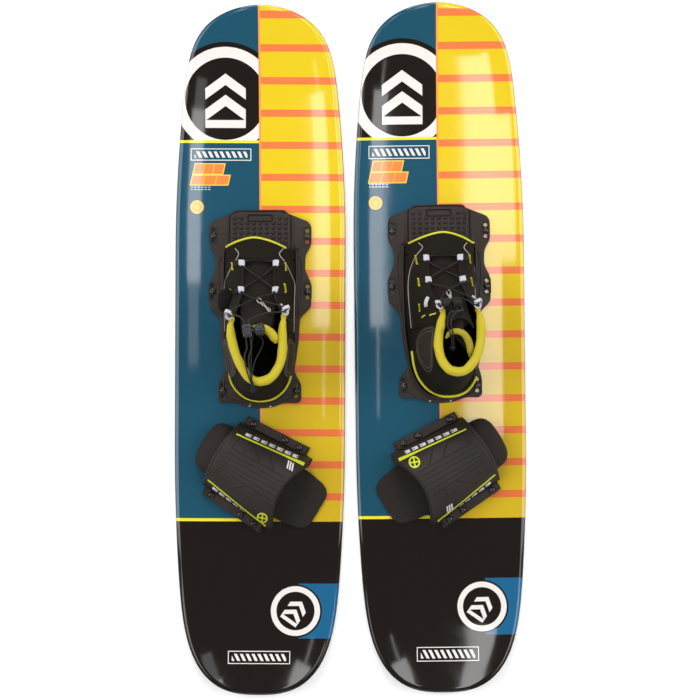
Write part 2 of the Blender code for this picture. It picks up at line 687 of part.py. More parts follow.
    a = c + w * -bore - g * 0.0018
    b = c + w * bore - g * 0.0018
    tail = [np.array([p[0] + lean(side, p[2]), p[1] + dy, p[2] + side.z0]) for p in L["tail"]]
    spread = np.array([0.0024, 0.0, 0.0])
    r1, r2 = hy + 0.0010, hy + L["run"]
    tails = []
    for e, sg in ((a, -1), (b, 1)):
        pts = [e + f * (r2 - 0.004), e + f * r2] + [p + spread * sg * (1 - 0.3 * (i == len(tail) - 1))
                                                    for i, p in enumerate(tail)]
        tails.append(smooth_path(pts, 9)[1:])
    rx, rt = L["ring"]
    x_mid = 0.0240
    def up_to_lock(sg):
        return [on_tongue(rt - 0.040, sg * rx * 0.88, 0.0062), on_tongue(rt, sg * rx, 0.0072),
                on_tongue(rt + 0.035, sg * rx * 0.86, 0.0066), on_tongue(min(1.0, rt + 0.10), sg * rx * 0.55, 0.0058)]
    middle = [a - f * (r1 + 0.001), a - f * (r1 + 0.005)] + list(reversed(up_to_lock(-1)))
    middle += [on_tongue(0.47, 0.0, 0.0076), on_tongue(0.375, x_mid * 0.94, 0.0066), on_tongue(0.335, x_mid, 0.0076),
               on_tongue(0.300, x_mid * 0.90, 0.0066), on_tongue(0.235, 0.0, 0.0068),
               on_tongue(0.165, -x_mid * 0.90, 0.0066), on_tongue(0.130, -x_mid * 0.98, 0.0086),
               on_tongue(0.105, -x_mid * 0.75, 0.0082), on_tongue(0.100, 0.0, 0.0062),
               on_tongue(0.105, x_mid * 0.75, 0.0082), on_tongue(0.130, x_mid * 0.98, 0.0086),
               on_tongue(0.165, x_mid * 0.90, 0.0066), on_tongue(0.235, 0.0, 0.0026),
               on_tongue(0.300, -x_mid * 0.90, 0.0066), on_tongue(0.335, -x_mid, 0.0076),
               on_tongue(0.375, -x_mid * 0.94, 0.0066), on_tongue(0.47, 0.0, 0.0034)]
    middle += up_to_lock(1) + [b - f * (r1 + 0.005), b - f * (r1 + 0.001)]
    lacing = smooth_path(middle, 40)
    path = np.array(list(reversed(tails[0])) + [a + f * r2, a + f * r1] + list(lacing) + [b + f * r1, b + f * r2]
                    + list(tails[1]))
    cu = bpy.data.curves.new(tag + "_lace", "CURVE")
    cu.dimensions = "3D"
    sp = cu.splines.new("POLY")
    sp.points.add(len(path) - 1)
    for p, q in zip(sp.points, path):
        p.co = (side.m * q[0], q[1], q[2], 1.0)
    cu.bevel_depth = LACE_R
    cu.bevel_resolution = 2
    cu.resolution_u = 1
    cu.use_fill_caps = True
    cu.materials.append(MAT["lace"])
    ob = bpy.data.objects.new(tag + "_lace", cu)
    parts.objects.link(ob)
    ob.parent = side.empty

    # ---- rear toe strap
    zf = DECK + GAP + OVERLAY_T                              # top of the clamped flange
    u_toe = lambda v: -0.0660 + 0.0080 * min(1.0, abs(v) / 0.06) ** 2
    u_heel = lambda v: 0.0480 + 0.0170 * min(1.0, abs(v) / 0.050) ** 2
    k_across = [-0.0775, -0.0610] + [None] * 13 + [0.0610, 0.0775]

    def over(uu, vv):
        i = round(vv * (len(k_across) - 1))
        if k_across[i] is None:
            ang = math.pi * (i - 2) / 12
            frac = -math.cos(ang)
        else:
            frac = math.copysign(1.0, k_across[i])
        u = u_toe(frac * 0.058) + (u_heel(frac * 0.058) - u_toe(frac * 0.058)) * uu
        span = strap_span(u)
        if k_across[i] is None:
            v, z = frac * span, zf + 0.0002 + arch(frac * span, span, strap_height(u))
            if i in (2, 14):
                v = frac * (span + 0.0004)
        else:
            extra = abs(k_across[i]) - 0.0585
            v, z = frac * (span + extra), zf
            u = max(-0.0560, min(0.0560, u))
        x, y, z = strap_uv(side, u, v, z)
        return x, y, z

    ob = new_object(side, tag + "_strap_overlay", *grid(5, 16, over), MAT["rubber"])
    solidify(ob, OVERLAY_T)
    cut(ob, hole_cutter(side, tag + "_overlay_drills", strap_screws, DECK - 0.002, DECK + 0.0065, SCREW_HOLE_R))

    def liner(uu, vv):
        frac = -math.cos(math.pi * vv)
        u0, u1 = -0.0925, u_heel(frac * 0.05) - 0.0030
        kk = uu ** 1.0
        u = u0 + (u1 - u0) * kk
        span = strap_span(max(u, -0.066)) - OVERLAY_T - 0.0022
        high = strap_height(max(u, -0.066)) - OVERLAY_T - 0.0018
        if u < -0.062:
            k = (-0.062 - u) / 0.0335
            fct = max(0.0, 1 - k ** 2.4) ** 0.5
            side_fct = fct * (0.86 + 0.14 * max(0.0, 1 - k * 3))
            span, high = span * side_fct, high * max(fct, 0.25)
        v = frac * span
        z = DECK + GAP + arch(v, span, high) + 0.0001
        return strap_uv(side, u, v, z)

    ob = new_object(side, tag + "_strap_liner", *grid(8, 12, liner), MAT["neoprene"])
    solidify(ob, LINER_T)

    # ribbed foot pad under the strap
    pad = []
    for u, v in ((-0.080, 0.020), (-0.070, 0.032), (-0.055, 0.040), (0.000, 0.0425), (0.050, 0.0440), (0.075, 0.0435),
                 (0.1000, 0.0385), (0.1095, 0.0330), (0.1137, 0.0240)):
        pad.append((u, v))
    loop = [strap_uv(side, u, -v, 0)[:2] for u, v in pad] + [strap_uv(side, u, v, 0)[:2] for u, v in reversed(pad)]
    prism(side, tag + "_rear_foot_pad", loop, DECK + GAP, DECK + GAP + PAD_T, MAT["foam"])

    # clamp strips
    for sign, word in ((1, "front"), (-1, "rear")):
        fl = math.radians(STRIP_FLARE) * sign
        pts = []
        e = 0.0025
        for a_, b_ in ((-1, -1), (1, -1), (1, 1), (-1, 1)):
            for ea, eb in (((e, 0), (0, e)) if a_ * b_ < 0 else ((0, e), (e, 0))):
                pts.append((a_ * (STRIP_HALF_LEN - ea), b_ * (STRIP_HALF_WID - eb)))
        cen = []
        for u, v in pts:
            uu = u * math.cos(fl) - v * math.sin(fl)
            vv = sign * STRIP_OFFSET + u * math.sin(fl) + v * math.cos(fl)
            cen.append(strap_uv(side, uu, vv, 0)[:2])
        ar = sum(cen[i][0] * cen[(i + 1) % 8][1] - cen[(i + 1) % 8][0] * cen[i][1] for i in range(8))
        if ar < 0:
            cen.reverse()
        ob = prism(side, f"{tag}_strap_plate_{word}", cen, zf + GAP, zf + GAP + STRIP_T, MAT["plate"])
        cut(ob, hole_cutter(side, f"{tag}_strip_drills_{word}", strip_holes(side, sign), zf - 0.001,
                            zf + STRIP_T + 0.003, SCREW_HOLE_R))

    # ---- screws
    names = [f"{tag}_plate_screw_{n}" for n in ("front_outer", "front_inner", "mid_outer", "mid_inner",
                                                "heel_outer", "heel_inner")]
    for n_, (x, y) in zip(names, plate_screws):
        zt = z0 + PLATE_T + GAP
        turned(side, n_, [(0, CORE_MID - INSERT_DEPTH + GAP), (SCREW_R, CORE_MID - INSERT_DEPTH + GAP), (SCREW_R, zt),
                          (SCREW_HEAD_R, zt), (SCREW_HEAD_R * 0.62, zt + SCREW_HEAD_H), (0, zt + SCREW_HEAD_H)],
               x, y, MAT["steel"])
    for i, (x, y) in enumerate(strap_screws):
        word = "front" if i < 3 else "rear"
        zt = zf + GAP + STRIP_T + GAP
        turned(side, f"{tag}_strap_screw_{word}_{i % 3 + 1}",
               [(0, CORE_MID - INSERT_DEPTH + GAP), (SCREW_R, CORE_MID - INSERT_DEPTH + GAP), (SCREW_R, zt),
                (SCREW_HEAD_R, zt), (SCREW_HEAD_R * 0.62, zt + SCREW_HEAD_H), (0, zt + SCREW_HEAD_H)],
               x, y, MAT["steel"])


left = Side("left", LEFT_PLACE, 1, shift=0.0, lean=0.001, throat_top=0.0385, strap_at=(-0.0069, -0.1881),
            lock=dict(at=(-0.0130, 0.0290, 0.1590), along=(0.10, -1.0, 0.0), across=(0.88, -0.45, 0.0),
                      run=0.014, ring=(0.0290, 0.66),
                      tail=[(-0.0095, -0.0130, 0.1562), (-0.0080, -0.0300, 0.1560), (-0.0070, -0.0500, 0.1592),
                            (-0.0064, -0.0600, 0.1590), (-0.0058, -0.0690, 0.1525)]))
right = Side("right", RIGHT_PLACE, -1, shift=0.0043, lean=-0.0235, throat_top=0.0330, strap_at=(-0.0101, -0.1848),
             lock=dict(t=0.79, x=0.0, lift=0.0125, across=(1.0, -0.05, 0.0), run=0.010, ring=(0.0245, 0.58),
                       tail=[(0.0000, 0.0330, 0.1630), (0.0005, 0.0200, 0.1590), (0.0015, 0.0080, 0.1500),
                             (0.0025, -0.0020, 0.1390)]))
for s_ in (left, right):
    build_ski(s_)
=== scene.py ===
import math

import bpy
import bmesh
import numpy as np
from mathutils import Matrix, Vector
from mathutils import noise as mnoise


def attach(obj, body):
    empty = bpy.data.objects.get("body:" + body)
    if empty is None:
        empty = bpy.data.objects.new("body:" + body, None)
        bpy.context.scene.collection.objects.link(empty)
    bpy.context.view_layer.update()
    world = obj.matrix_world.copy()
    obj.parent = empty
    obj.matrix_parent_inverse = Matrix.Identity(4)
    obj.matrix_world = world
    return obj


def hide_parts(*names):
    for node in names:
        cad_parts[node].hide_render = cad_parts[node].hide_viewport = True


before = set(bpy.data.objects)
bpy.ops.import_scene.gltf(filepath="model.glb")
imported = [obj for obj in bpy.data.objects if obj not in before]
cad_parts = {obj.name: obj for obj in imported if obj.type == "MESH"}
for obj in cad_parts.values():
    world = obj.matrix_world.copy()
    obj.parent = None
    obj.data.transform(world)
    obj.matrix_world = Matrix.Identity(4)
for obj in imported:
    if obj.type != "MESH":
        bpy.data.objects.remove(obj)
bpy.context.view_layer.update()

scene = bpy.context.scene

# ============================================================ the design's numbers
GAP = 0.0003
SKI_LENGTH = 1.055
SKI_HALF_WIDTH = 0.1312
TIP_TAPER, TIP_TAPER_LEN = 0.0306, 0.374
TIP_ROUND_LEN, TIP_POW_A, TIP_POW_B = 0.198, 6.0, 1.888
TAIL_TAPER, TAIL_TAPER_LEN = 0.0236, 0.390
TAIL_ROUND_LEN, TAIL_POW_A, TAIL_POW_B = 0.231, 4.63, 2.694
TIP_RISE, TAIL_RISE = 0.046, 0.032
FLAT_FRONT, FLAT_REAR = 0.240, -0.300
CORE_MID, CORE_END = 0.0150, 0.0070
SHEET = 0.0012
EDGE_ROLL, EDGE_DROP = 0.0085, 0.0042
BASE_ROLL = 0.0050
LEFT_PLACE = (-0.1392, -0.0020, -0.22)
RIGHT_PLACE = (0.1380, 0.0019, 0.65)
DECK = CORE_MID + GAP + SHEET
ADJUST_PITCH = 0.0086
PLATE_T, PLATFORM_T = 0.0050, 0.0025
WALL_T, WALL_H = 0.0028, 0.0120
PLATE_SCREWS = [(0.0720, 0.1760), (0.0730, 0.0905), (0.0565, -0.0618)]
SHELL_T, RIM_TUBE_R, LEAN_REF = 0.0035, 0.0072, 0.140
STRAP_ANGLE = 30.6
STRIP_HALF_LEN, STRIP_HALF_WID, STRIP_T = 0.0510, 0.0066, 0.0042
STRIP_OFFSET, STRIP_FLARE = 0.0658, 3.4
STRIP_SCREWS = (-0.0400, 0.0140, 0.0390)
OVERLAY_T, LINER_T, PAD_T = 0.0034, 0.0026, 0.0060
LACE_R = 0.0014
Z0 = DECK + GAP + PLATE_T + GAP          # the boot stands here
ZP = DECK + GAP                          # underside of the binding plate
SCALE = 0.00154                          # metres of deck for one unit of the 700 x 700 view

# ============================================================ camera
cam = bpy.data.objects.new("camera", bpy.data.cameras.new("camera"))
scene.collection.objects.link(cam)
CAM_H = 3.40
cam.location = (-0.0006, -0.0012, CAM_H)
cam.rotation_euler = (0, 0, 0)
cam.data.sensor_width = 36.0
cam.data.lens = 36.0 * (CAM_H - DECK) / (700 * SCALE)
cam.data.clip_start, cam.data.clip_end = 0.05, 60
scene.camera = cam


# ============================================================ curves and surfaces
def smooth_keys(keys, t):
    ts = [k[0] for k in keys]
    vs = np.array([k[1:] for k in keys], dtype=float)
    n = len(ts)
    if t <= ts[0]:
        return vs[0]
    if t >= ts[-1]:
        return vs[-1]
    i = max(j for j in range(n - 1) if ts[j] <= t)

    def slope(j):
        if j == 0:
            return (vs[1] - vs[0]) / (ts[1] - ts[0])
        if j == n - 1:
            return (vs[-1] - vs[-2]) / (ts[-1] - ts[-2])
        return (vs[j + 1] - vs[j - 1]) / (ts[j + 1] - ts[j - 1])

    h = ts[i + 1] - ts[i]
    s = (t - ts[i]) / h
    a, b = vs[i], vs[i + 1]
    return ((2 * s ** 3 - 3 * s ** 2 + 1) * a + (s ** 3 - 2 * s ** 2 + s) * h * slope(i)
            + (-2 * s ** 3 + 3 * s ** 2) * b + (s ** 3 - s ** 2) * h * slope(i + 1))


def smooth_path(points, count):
    pts = np.array(points, dtype=float)
    d = np.r_[0, np.cumsum(np.linalg.norm(np.diff(pts, axis=0), axis=1))]
    keys = [(d[i], *pts[i]) for i in range(len(pts))]
    fine = np.array([smooth_keys(keys, t) for t in np.linspace(0, d[-1], 600)])
    s = np.r_[0, np.cumsum(np.linalg.norm(np.diff(fine, axis=0), axis=1))]
    return np.array([[np.interp(u, s, fine[:, k]) for k in range(3)]
                     for u in np.linspace(0, s[-1], count)])


def ski_half_width(y):
    dt, db = SKI_LENGTH / 2 - y, SKI_LENGTH / 2 + y
    w = SKI_HALF_WIDTH
    w -= TIP_TAPER * max(0.0, 1 - dt / TIP_TAPER_LEN) ** 2
    w -= TAIL_TAPER * max(0.0, 1 - db / TAIL_TAPER_LEN) ** 2
    et, eb = max(0.0, 1 - dt / TIP_ROUND_LEN), max(0.0, 1 - db / TAIL_ROUND_LEN)
    w *= max(0.0, 1 - et ** TIP_POW_A) ** (1 / TIP_POW_B)
    w *= max(0.0, 1 - eb ** TAIL_POW_A) ** (1 / TAIL_POW_B)
    return w


def rocker(y):
    half = SKI_LENGTH / 2
    if y > FLAT_FRONT:
        return TIP_RISE * ((y - FLAT_FRONT) / (half - FLAT_FRONT)) ** 2.2
    if y < FLAT_REAR:
        return TAIL_RISE * ((FLAT_REAR - y) / (half + FLAT_REAR)) ** 2.2
    return 0.0


def core_thickness(y):
    half = SKI_LENGTH / 2
    if y > FLAT_FRONT:
        k = (y - FLAT_FRONT) / (half - FLAT_FRONT)
    elif y < FLAT_REAR:
        k = (FLAT_REAR - y) / (half + FLAT_REAR)
    else:
        return CORE_MID
    return CORE_MID + (CORE_END - CORE_MID) * (k * k * (3 - 2 * k))


def deck_z(y):
    return rocker(y) + core_thickness(y) + GAP + SHEET


def outline_rings(insets, steps=170):
    """Half outlines, tip to tail, at several insets."""
    ys = [SKI_LENGTH / 2 * math.cos(math.pi * i / steps) for i in range(steps + 1)]
    p = np.array([(ski_half_width(y), y) for y in ys])
    p[0, 0] = p[-1, 0] = 0.0
    nr = np.zeros_like(p)
    for i in range(len(p)):
        if i in (0, len(p) - 1):
            nr[i] = (0.0, -1.0 if i == 0 else 1.0)
        else:
            t = p[i + 1] - p[i - 1]
            n = np.array([t[1], -t[0]])
            n /= np.linalg.norm(n)
            nr[i] = -n if n[0] > 0 else n
    return [np.c_[np.maximum(p[:, 0] + k * nr[:, 0], 0.0), p[:, 1] + k * nr[:, 1]] for k in insets]


def sole_curve(s):
    return smooth_keys([(0.00, 0.0535, 0.1375), (0.18, 0.0540, 0.0970), (0.36, 0.0530, 0.0550),
                        (0.54, 0.0520, 0.0200), (0.70, 0.0505, -0.0150), (0.80, 0.0465, -0.0400),
                        (0.90, 0.0325, -0.0650), (0.955, 0.0175, -0.0762), (1.00, 0.0000, -0.0796)], s)


def heel_dx(side, y):
    k = min(1.0, max(0.0, (0.035 - y) / 0.070))
    return side.heel_dx * k * k * (3 - 2 * k)


def rim_curve(side, s):
    a = side.throat_top
    return smooth_keys([(0.00, 0.0245, 0.1375, 0.0535), (0.16, 0.0240, 0.1040, 0.0660),
                        (0.30, 0.0265, 0.0780, 0.0885), (0.42, a - 0.004, 0.0600, 0.1130),
                        (0.54, a, 0.0330, 0.1300), (0.70, 0.0395, -0.0050, 0.1330),
                        (0.80, 0.0375, -0.0280, 0.1360), (0.90, 0.0245, -0.0480, 0.1385),
                        (1.00, 0.0000, -0.0560, 0.1400)], s)


def lean(side, z):
    return side.lean * (max(z, 0.0) / LEAN_REF) ** 2


def at(side, px, py, z):
    """Ski coordinates of a place seen at (px, py) in the 700 x 700 view when it is at height z."""
    k = SCALE * (CAM_H - z) / (CAM_H - DECK)
    dx, dy = (px - 350) * k - 0.0006 - side.cx, (350 - py) * k - 0.0012 - side.cy
    return np.array((side.m * (dx * side.c + dy * side.s), -dx * side.s + dy * side.c, z))


def seen(side, p):
    X, Y, Z = side.world(p)
    k = (CAM_H - DECK) / (CAM_H - Z) / SCALE
    return np.array((350 + (X + 0.0006) * k, 350 - (Y + 0.0012) * k))


def rim_point(side, s, hand):
    """Upper edge of the boot with its lean in it; z from the boot's base."""
    if hand not in side.rims:
        keys = []
        for t in (0.0, 0.16, 0.30):
            ex, ey, ez = rim_curve(side, t)
            keys.append((t, hand * ex + lean(side, ez), ey + side.shift, ez))
        for t, px, py in side.rim_seen[hand]:
            ez = rim_curve(side, t)[2]
            p = at(side, px, py, Z0 + ez + RIM_TUBE_R + 0.0016)
            keys.append((t, p[0], p[1], ez))
        side.rims[hand] = keys
    return smooth_keys(side.rims[hand], s)


def upper(side, s, q, hand):
    cx, cy = sole_curve(s)
    rx, ry, ez = rim_point(side, s, hand)
    k = 1 - math.cos(math.pi * q / 2)
    up = min(1.0, max(0.0, (s - 0.25) / 0.4))
    up = up * up * (3 - 2 * up)
    k = k * (1 - up) + (0.55 * q + 0.45 * q * q) * up
    zz = math.sin(math.pi * q / 2) * (1 - up) + q * up
    bx = cx * hand + heel_dx(side, cy)
    x = bx + (rx - bx) * k
    y = cy + side.shift + (ry - cy - side.shift) * k
    z = ez * zz
    bulge = 0.004 * up * math.sin(math.pi * q) ** 2
    if s > 0.7:
        y -= bulge * (s - 0.7) / 0.3
    x += hand * bulge * (1 - max(0.0, (s - 0.7) / 0.3))
    return np.array((x, y, z + Z0))


def on_boot(side, px, py, hand, off=0.0):
    """Place on the outside of the boot's upper that is seen at (px, py)."""
    if hand not in side.table:
        ss, qs = np.linspace(0.0, 1.0, 61), np.linspace(0.0, 1.0, 31)
        side.table[hand] = [(s, q, seen(side, upper(side, s, q, hand))) for s in ss for q in qs]
    best = min(side.table[hand], key=lambda r: (r[2][0] - px) ** 2 + (r[2][1] - py) ** 2)
    s, q = best[0], best[1]
    for _ in range(3):
        e = 0.004
        f0 = seen(side, upper(side, s, q, hand))
        s1, q1 = (s + e if s < 0.99 else s - e), (q + e if q < 0.99 else q - e)
        ds = (seen(side, upper(side, s1, q, hand)) - f0) / (s1 - s)
        dq = (seen(side, upper(side, s, q1, hand)) - f0) / (q1 - q)
        J = np.array([ds, dq]).T
        if abs(np.linalg.det(J)) < 1e-3:
            break
        d = np.linalg.solve(J, np.array((px, py)) - f0)
        s = min(1.0, max(0.0, s + float(np.clip(d[0], -0.05, 0.05))))
        q = min(1.0, max(0.0, q + float(np.clip(d[1], -0.08, 0.08))))
    p = upper_out(side, min(0.999, s), min(0.999, q), hand, off)
    if np.linalg.norm(seen(side, p) - (px, py)) > 1.2 and py < 262:
        z = Z0 + 0.045
        for _ in range(6):
            p = at(side, px, py, z)
            x = min(0.0530, abs(p[0] - lean(side, z - Z0))) / 0.0535
            c = x ** (1 / 0.85)
            z = Z0 + (toe_height(p[1] - side.shift) + 0.0005 + off) * math.sqrt(max(0.0, 1 - c * c)) ** 0.85
        p = at(side, px, py, z)
    return p


def upper_out(side, s, q, hand, off):
    """Point off the outside of the boot's upper."""
    e = 0.006
    a = upper(side, min(1.0, s + e), q, hand) - upper(side, max(0.0, s - e), q, hand)
    b = upper(side, s, min(1.0, q + e), hand) - upper(side, s, max(0.0, q - e), hand)
    n = np.cross(a, b)
    n /= np.linalg.norm(n) + 1e-12
    p = upper(side, s, q, hand)
    if n[0] * hand + (0.0 if s < 0.9 else -n[1]) < 0:
        n = -n
    return p + n * off


def tongue_line(t):
    return smooth_keys([(0.00, 0.1480, 0.0440), (0.16, 0.1250, 0.0515), (0.34, 0.0980, 0.0650),
                        (0.50, 0.0780, 0.0830), (0.68, 0.0600, 0.1080), (0.85, 0.0475, 0.1300),
                        (1.00, 0.0410, 0.1450)], t)


def tongue_normal(t):
    a, b = tongue_line(max(0.0, t - 0.01)), tongue_line(min(1.0, t + 0.01))
    d = b - a
    n = np.array([-d[1], d[0]])
    n = -n if n[1] < 0 else n
    n = n / np.linalg.norm(n)
    return -n if n[0] < 0 else n


def tongue_point(side, t, a, lift=0.0):
    y, z = tongue_line(t)
    n = tongue_normal(t)
    half = 0.0285 - 0.0055 * max(0.0, (t - 0.5) / 0.5)
    sag = 0.0035 + 0.0130 * max(0.0, (t - 0.3) / 0.7) ** 1.3
    off = lift - sag * a * a
    y, z = y + n[0] * off, z + n[1] * off
    return np.array((half * a + lean(side, z), y + side.shift, z + Z0))


def toe_height(y):
    return 0.0550 + 0.0030 * (0.165 - y) / 0.04


def toe_point(side, u, v, off=0.0):
    th = math.pi * u
    c, s = math.cos(th), math.sin(th)
    x = (0.0535 + off) * math.copysign(abs(c) ** 0.85, c)
    yf = 0.1700 - 0.0150 * min(1.0, abs(x - side.toe[0]) / 0.0475) ** 1.6
    y = 0.1385 + (yf - 0.1385) * v
    z = (toe_height(y) + off) * s ** 0.85
    return np.array((x + lean(side, z), y + side.shift, z + Z0))


def strap_uv(side, u, v, z):
    a = math.radians(STRAP_ANGLE)
    x0, y0 = side.strap_at
    return np.array((x0 + u * math.cos(a) + v * math.sin(a), y0 - u * math.sin(a) + v * math.cos(a), z))


def strap_span(u):
    return 0.0585 + 0.0040 * u / 0.060


def strap_height(u):
    return 0.0560 + 0.0070 * u / 0.060


def arch(v, span, height, p=2.3):
    return height * max(0.0, 1 - abs(v / span) ** p) ** 0.5


class Side:
    def __init__(self, tag, place, mirror, view, **kw):
        self.tag, self.m, self.view = tag, mirror, view
        self.rims, self.table = {}, {}
        self.cx, self.cy = place[0], place[1]
        self.c, self.s = math.cos(math.radians(place[2])), math.sin(math.radians(place[2]))
        self.ski, self.tongue_body = tag + "_ski", tag + "_tongue"
        self.__dict__.update(kw)

    def world(self, p):
        x, y, z = self.m * p[0], p[1], p[2]
        return (self.cx + x * self.c - y * self.s, self.cy + x * self.s + y * self.c, z)

    def deck(self, px, py):
        """Ski coordinates in mm, not mirrored, of a place on the deck in the 700 x 700 view."""
        x = (px - self.view[0]) * SCALE
        y = (self.view[1] - py) * SCALE
        return 1000 * (x * self.c + y * self.s), 1000 * (-x * self.s + y * self.c)


left = Side("left", LEFT_PLACE, 1, (260.0, 350.5), shift=0.0, lean=0.001, throat_top=0.0385, strap_at=(-0.0069, -0.1881),
            row2=0.425, slide=0.012, heel_dx=0.0, toe=(-0.0072, 0.250, 0.885),
            extra=[(279.6, 304.8, 281.6, 312.6, 0.0030, 0.0030)],
            rim_seen={-1: [(0.44, 232.3, 318.5), (0.54, 230.4, 330), (0.70, 234.6, 351), (0.80, 240.2, 364.5),
                           (0.90, 247.5, 376.0), (0.955, 253.0, 380.3), (1.0, 259.5, 381.6)],
                      1: [(0.44, 283.2, 315.5), (0.54, 282.3, 330), (0.70, 282.4, 350), (0.80, 280.0, 363.5),
                          (0.90, 273.0, 375.5), (0.955, 266.5, 380.0), (1.0, 259.5, 381.6)]},
            rings={-1: (229.0, 314.8), 1: (285.2, 310.6)},
            lock=dict(at=(-0.0130, 0.0290, 0.1590), along=(0.10, -1.0, 0.0), across=(0.88, -0.45, 0.0),
                      run=0.014, ring=(0.0290, 0.66)),
            tails={-1: [(245.2, 344, 0.1575), (244.6, 356, 0.1570), (246.2, 368, 0.1590), (249.2, 378, 0.1595),
                        (251.8, 385, 0.1560), (252.6, 389, 0.1505)],
                   1: [(249.6, 345, 0.1575), (248.8, 358, 0.1585), (249.2, 369, 0.1600), (251.6, 379, 0.1605),
                       (253.6, 386, 0.1565), (253.8, 389.5, 0.1505)]},
            roll=[(253.2, 326.6, 0.1500), (258.5, 326.2, 0.1512), (264.0, 327.8, 0.1512), (269.0, 331.2, 0.1498),
                  (273.0, 335.6, 0.1470), (275.4, 341.0, 0.1430)],
            roll_r=(0.0026, 0.0068),
            seams={-1: [(235.2, 248.5), (238.6, 254), (233.4, 264.5), (228.2, 274.5), (224.6, 284.5)],
                   1: [(283.4, 248.5), (279.4, 254), (285.0, 262.5), (291.0, 275), (295.6, 287), (298.0, 299),
                       (298.6, 312), (298.4, 322)]},
            tacks=[(232.8, 263, 233.2, 270), (231.2, 289.5, 232.0, 294.5), (284.6, 263, 285.2, 270.5), (284.0, 284.2, 285.0, 292.8)],
            panels={-1: [(223.0, 337), (226.5, 340), (229.6, 350), (234.0, 361), (238.5, 370), (235.0, 373.5), (229.5, 369),
                         (225.0, 360), (222.8, 349)],
                    1: [(287.8, 333), (293.8, 334), (295.4, 340), (294.2, 352), (291.6, 364), (287.6, 372), (283.0, 375.0),
                        (284.8, 366), (287.0, 353), (287.6, 342)]},
            heel=[(229.2, 374.5), (231.6, 383), (237.4, 391.6), (247.0, 398.6), (260.6, 401.2), (273.6, 398.6), (283.2, 391.4),
                  (288.4, 383.4), (290.6, 376.5)])
right = Side("right", RIGHT_PLACE, -1, (440.0, 348.0), shift=0.0043, lean=-0.0235, throat_top=0.0330,
             strap_at=(-0.0101, -0.1848), row2=0.365, slide=0.008, heel_dx=-0.0040, toe=(0.0, 0.160, 0.905),
             extra=[(429.0, 297.8, 427.2, 307.0, 0.0056, 0.0036), (470.8, 296.4, 473.6, 303.0, 0.0034, 0.0030)],
             rim_seen={1: [(0.44, 442.6, 309.5), (0.54, 440.8, 324), (0.70, 438.4, 345), (0.80, 441.6, 359.5),
                           (0.90, 448.0, 368.3), (0.955, 452.5, 370.8), (1.0, 458.5, 371.8)],
                       -1: [(0.44, 477.2, 309.0), (0.54, 480.8, 322), (0.70, 480.4, 343), (0.80, 476.4, 357),
                            (0.90, 469.2, 367.0), (0.955, 464.3, 370.6), (1.0, 458.5, 371.8)]},
             rings={1: (439.4, 304.6), -1: (477.6, 303.8)},
             lock=dict(t=0.79, x=0.0, lift=0.0125, across=(1.0, -0.05, 0.0), run=0.010, ring=(0.0245, 0.58)),
             tails={-1: [(455.6, 312.5, 0.1660), (451.6, 318.5, 0.1655), (451.2, 326.0, 0.1630), (452.8, 333.0, 0.1570),
                         (453.8, 340.0, 0.1480), (453.4, 347.5, 0.1370)],
                    1: [(450.6, 312.0, 0.1660), (447.6, 319.0, 0.1650), (447.8, 326.5, 0.1625), (450.2, 333.5, 0.1565),
                        (452.0, 340.5, 0.1475), (452.0, 347.5, 0.1370)]},
             roll=[(446.4, 337.5, 0.1440), (450.4, 332.8, 0.1490), (457.0, 331.2, 0.1505), (463.6, 333.8, 0.1480),
                   (468.0, 340.0, 0.1430), (470.4, 348.5, 0.1370), (470.8, 356.0, 0.1310)],
             roll_r=(0.0034, 0.0058),
             seams={1: [(418.5, 242.8), (422.5, 247.2), (416.6, 255.4), (410.8, 268.6), (408.6, 282.0), (408.8, 296.7),
                        (410.2, 312.8), (411.6, 328.0)],
                    -1: [(466.7, 242.8), (464.0, 247.5), (468.7, 254.2), (474.7, 270.0), (478.7, 286.0), (480.0, 299.5)]},
             tacks=[(416.2, 255.5, 417.6, 264.4), (419.0, 278.6, 419.8, 286.6), (468.6, 255.2, 469.4, 263.4),
                    (470.2, 278.0, 471.6, 286.0), (420.0, 304.0, 420.6, 311.4), (422.8, 317.4, 425.6, 315.2),
                    (430.6, 315.4, 436.2, 313.8)],
             panels={1: [(436.6, 325.0), (427.0, 326.0), (419.8, 331.5), (416.4, 341.0), (416.8, 352.0), (419.8, 362.0),
                         (425.5, 371.5), (432.0, 374.5), (434.4, 366.0), (433.8, 352.0), (434.6, 338.0)],
                     -1: [(486.4, 345.0), (487.0, 352.0), (484.0, 362.0), (478.6, 371.0), (474.6, 373.5), (476.6, 368.0),
                          (481.6, 360.0), (484.8, 351.0)]},
             heel=[(412.8, 352.0), (415.0, 366.0), (419.6, 378.2), (428.4, 388.8), (441.0, 395.0), (454.0, 396.2),
                   (465.6, 392.0), (472.8, 384.0), (476.0, 377.4)])


# ============================================================ mesh helpers
def put(side, name, verts, faces, mat, body, uv=None, smooth=True, angle=40, slot=None, local=True):
    """A piece from ski coordinates (mirrored for the right ski), riding on a CAD body."""
    pts = [side.world(v) for v in verts] if local else [tuple(v) for v in verts]
    flip = local and side.m < 0
    me = bpy.data.meshes.new(name)
    me.from_pydata(pts, [], [tuple(reversed(f)) if flip else tuple(f) for f in faces])
    if uv is not None:
        layer = me.uv_layers.new(name="UVMap")
        idx = np.zeros(len(me.loops), np.int32)
        me.loops.foreach_get("vertex_index", idx)
        layer.data.foreach_set("uv", np.asarray(uv, np.float32)[idx].ravel())
    me.materials.append(mat)
    me.update()
    if smooth:
        me.shade_smooth()
        me.set_sharp_from_angle(angle=math.radians(angle))
    ob = bpy.data.objects.new(name, me)
    scene.collection.objects.link(ob)
    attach(ob, body)
    return ob


def outward(ob):
    bm = bmesh.new()
    bm.from_mesh(ob.data)
    bmesh.ops.recalc_face_normals(bm, faces=bm.faces)
    bm.to_mesh(ob.data)
    bm.free()
    return ob


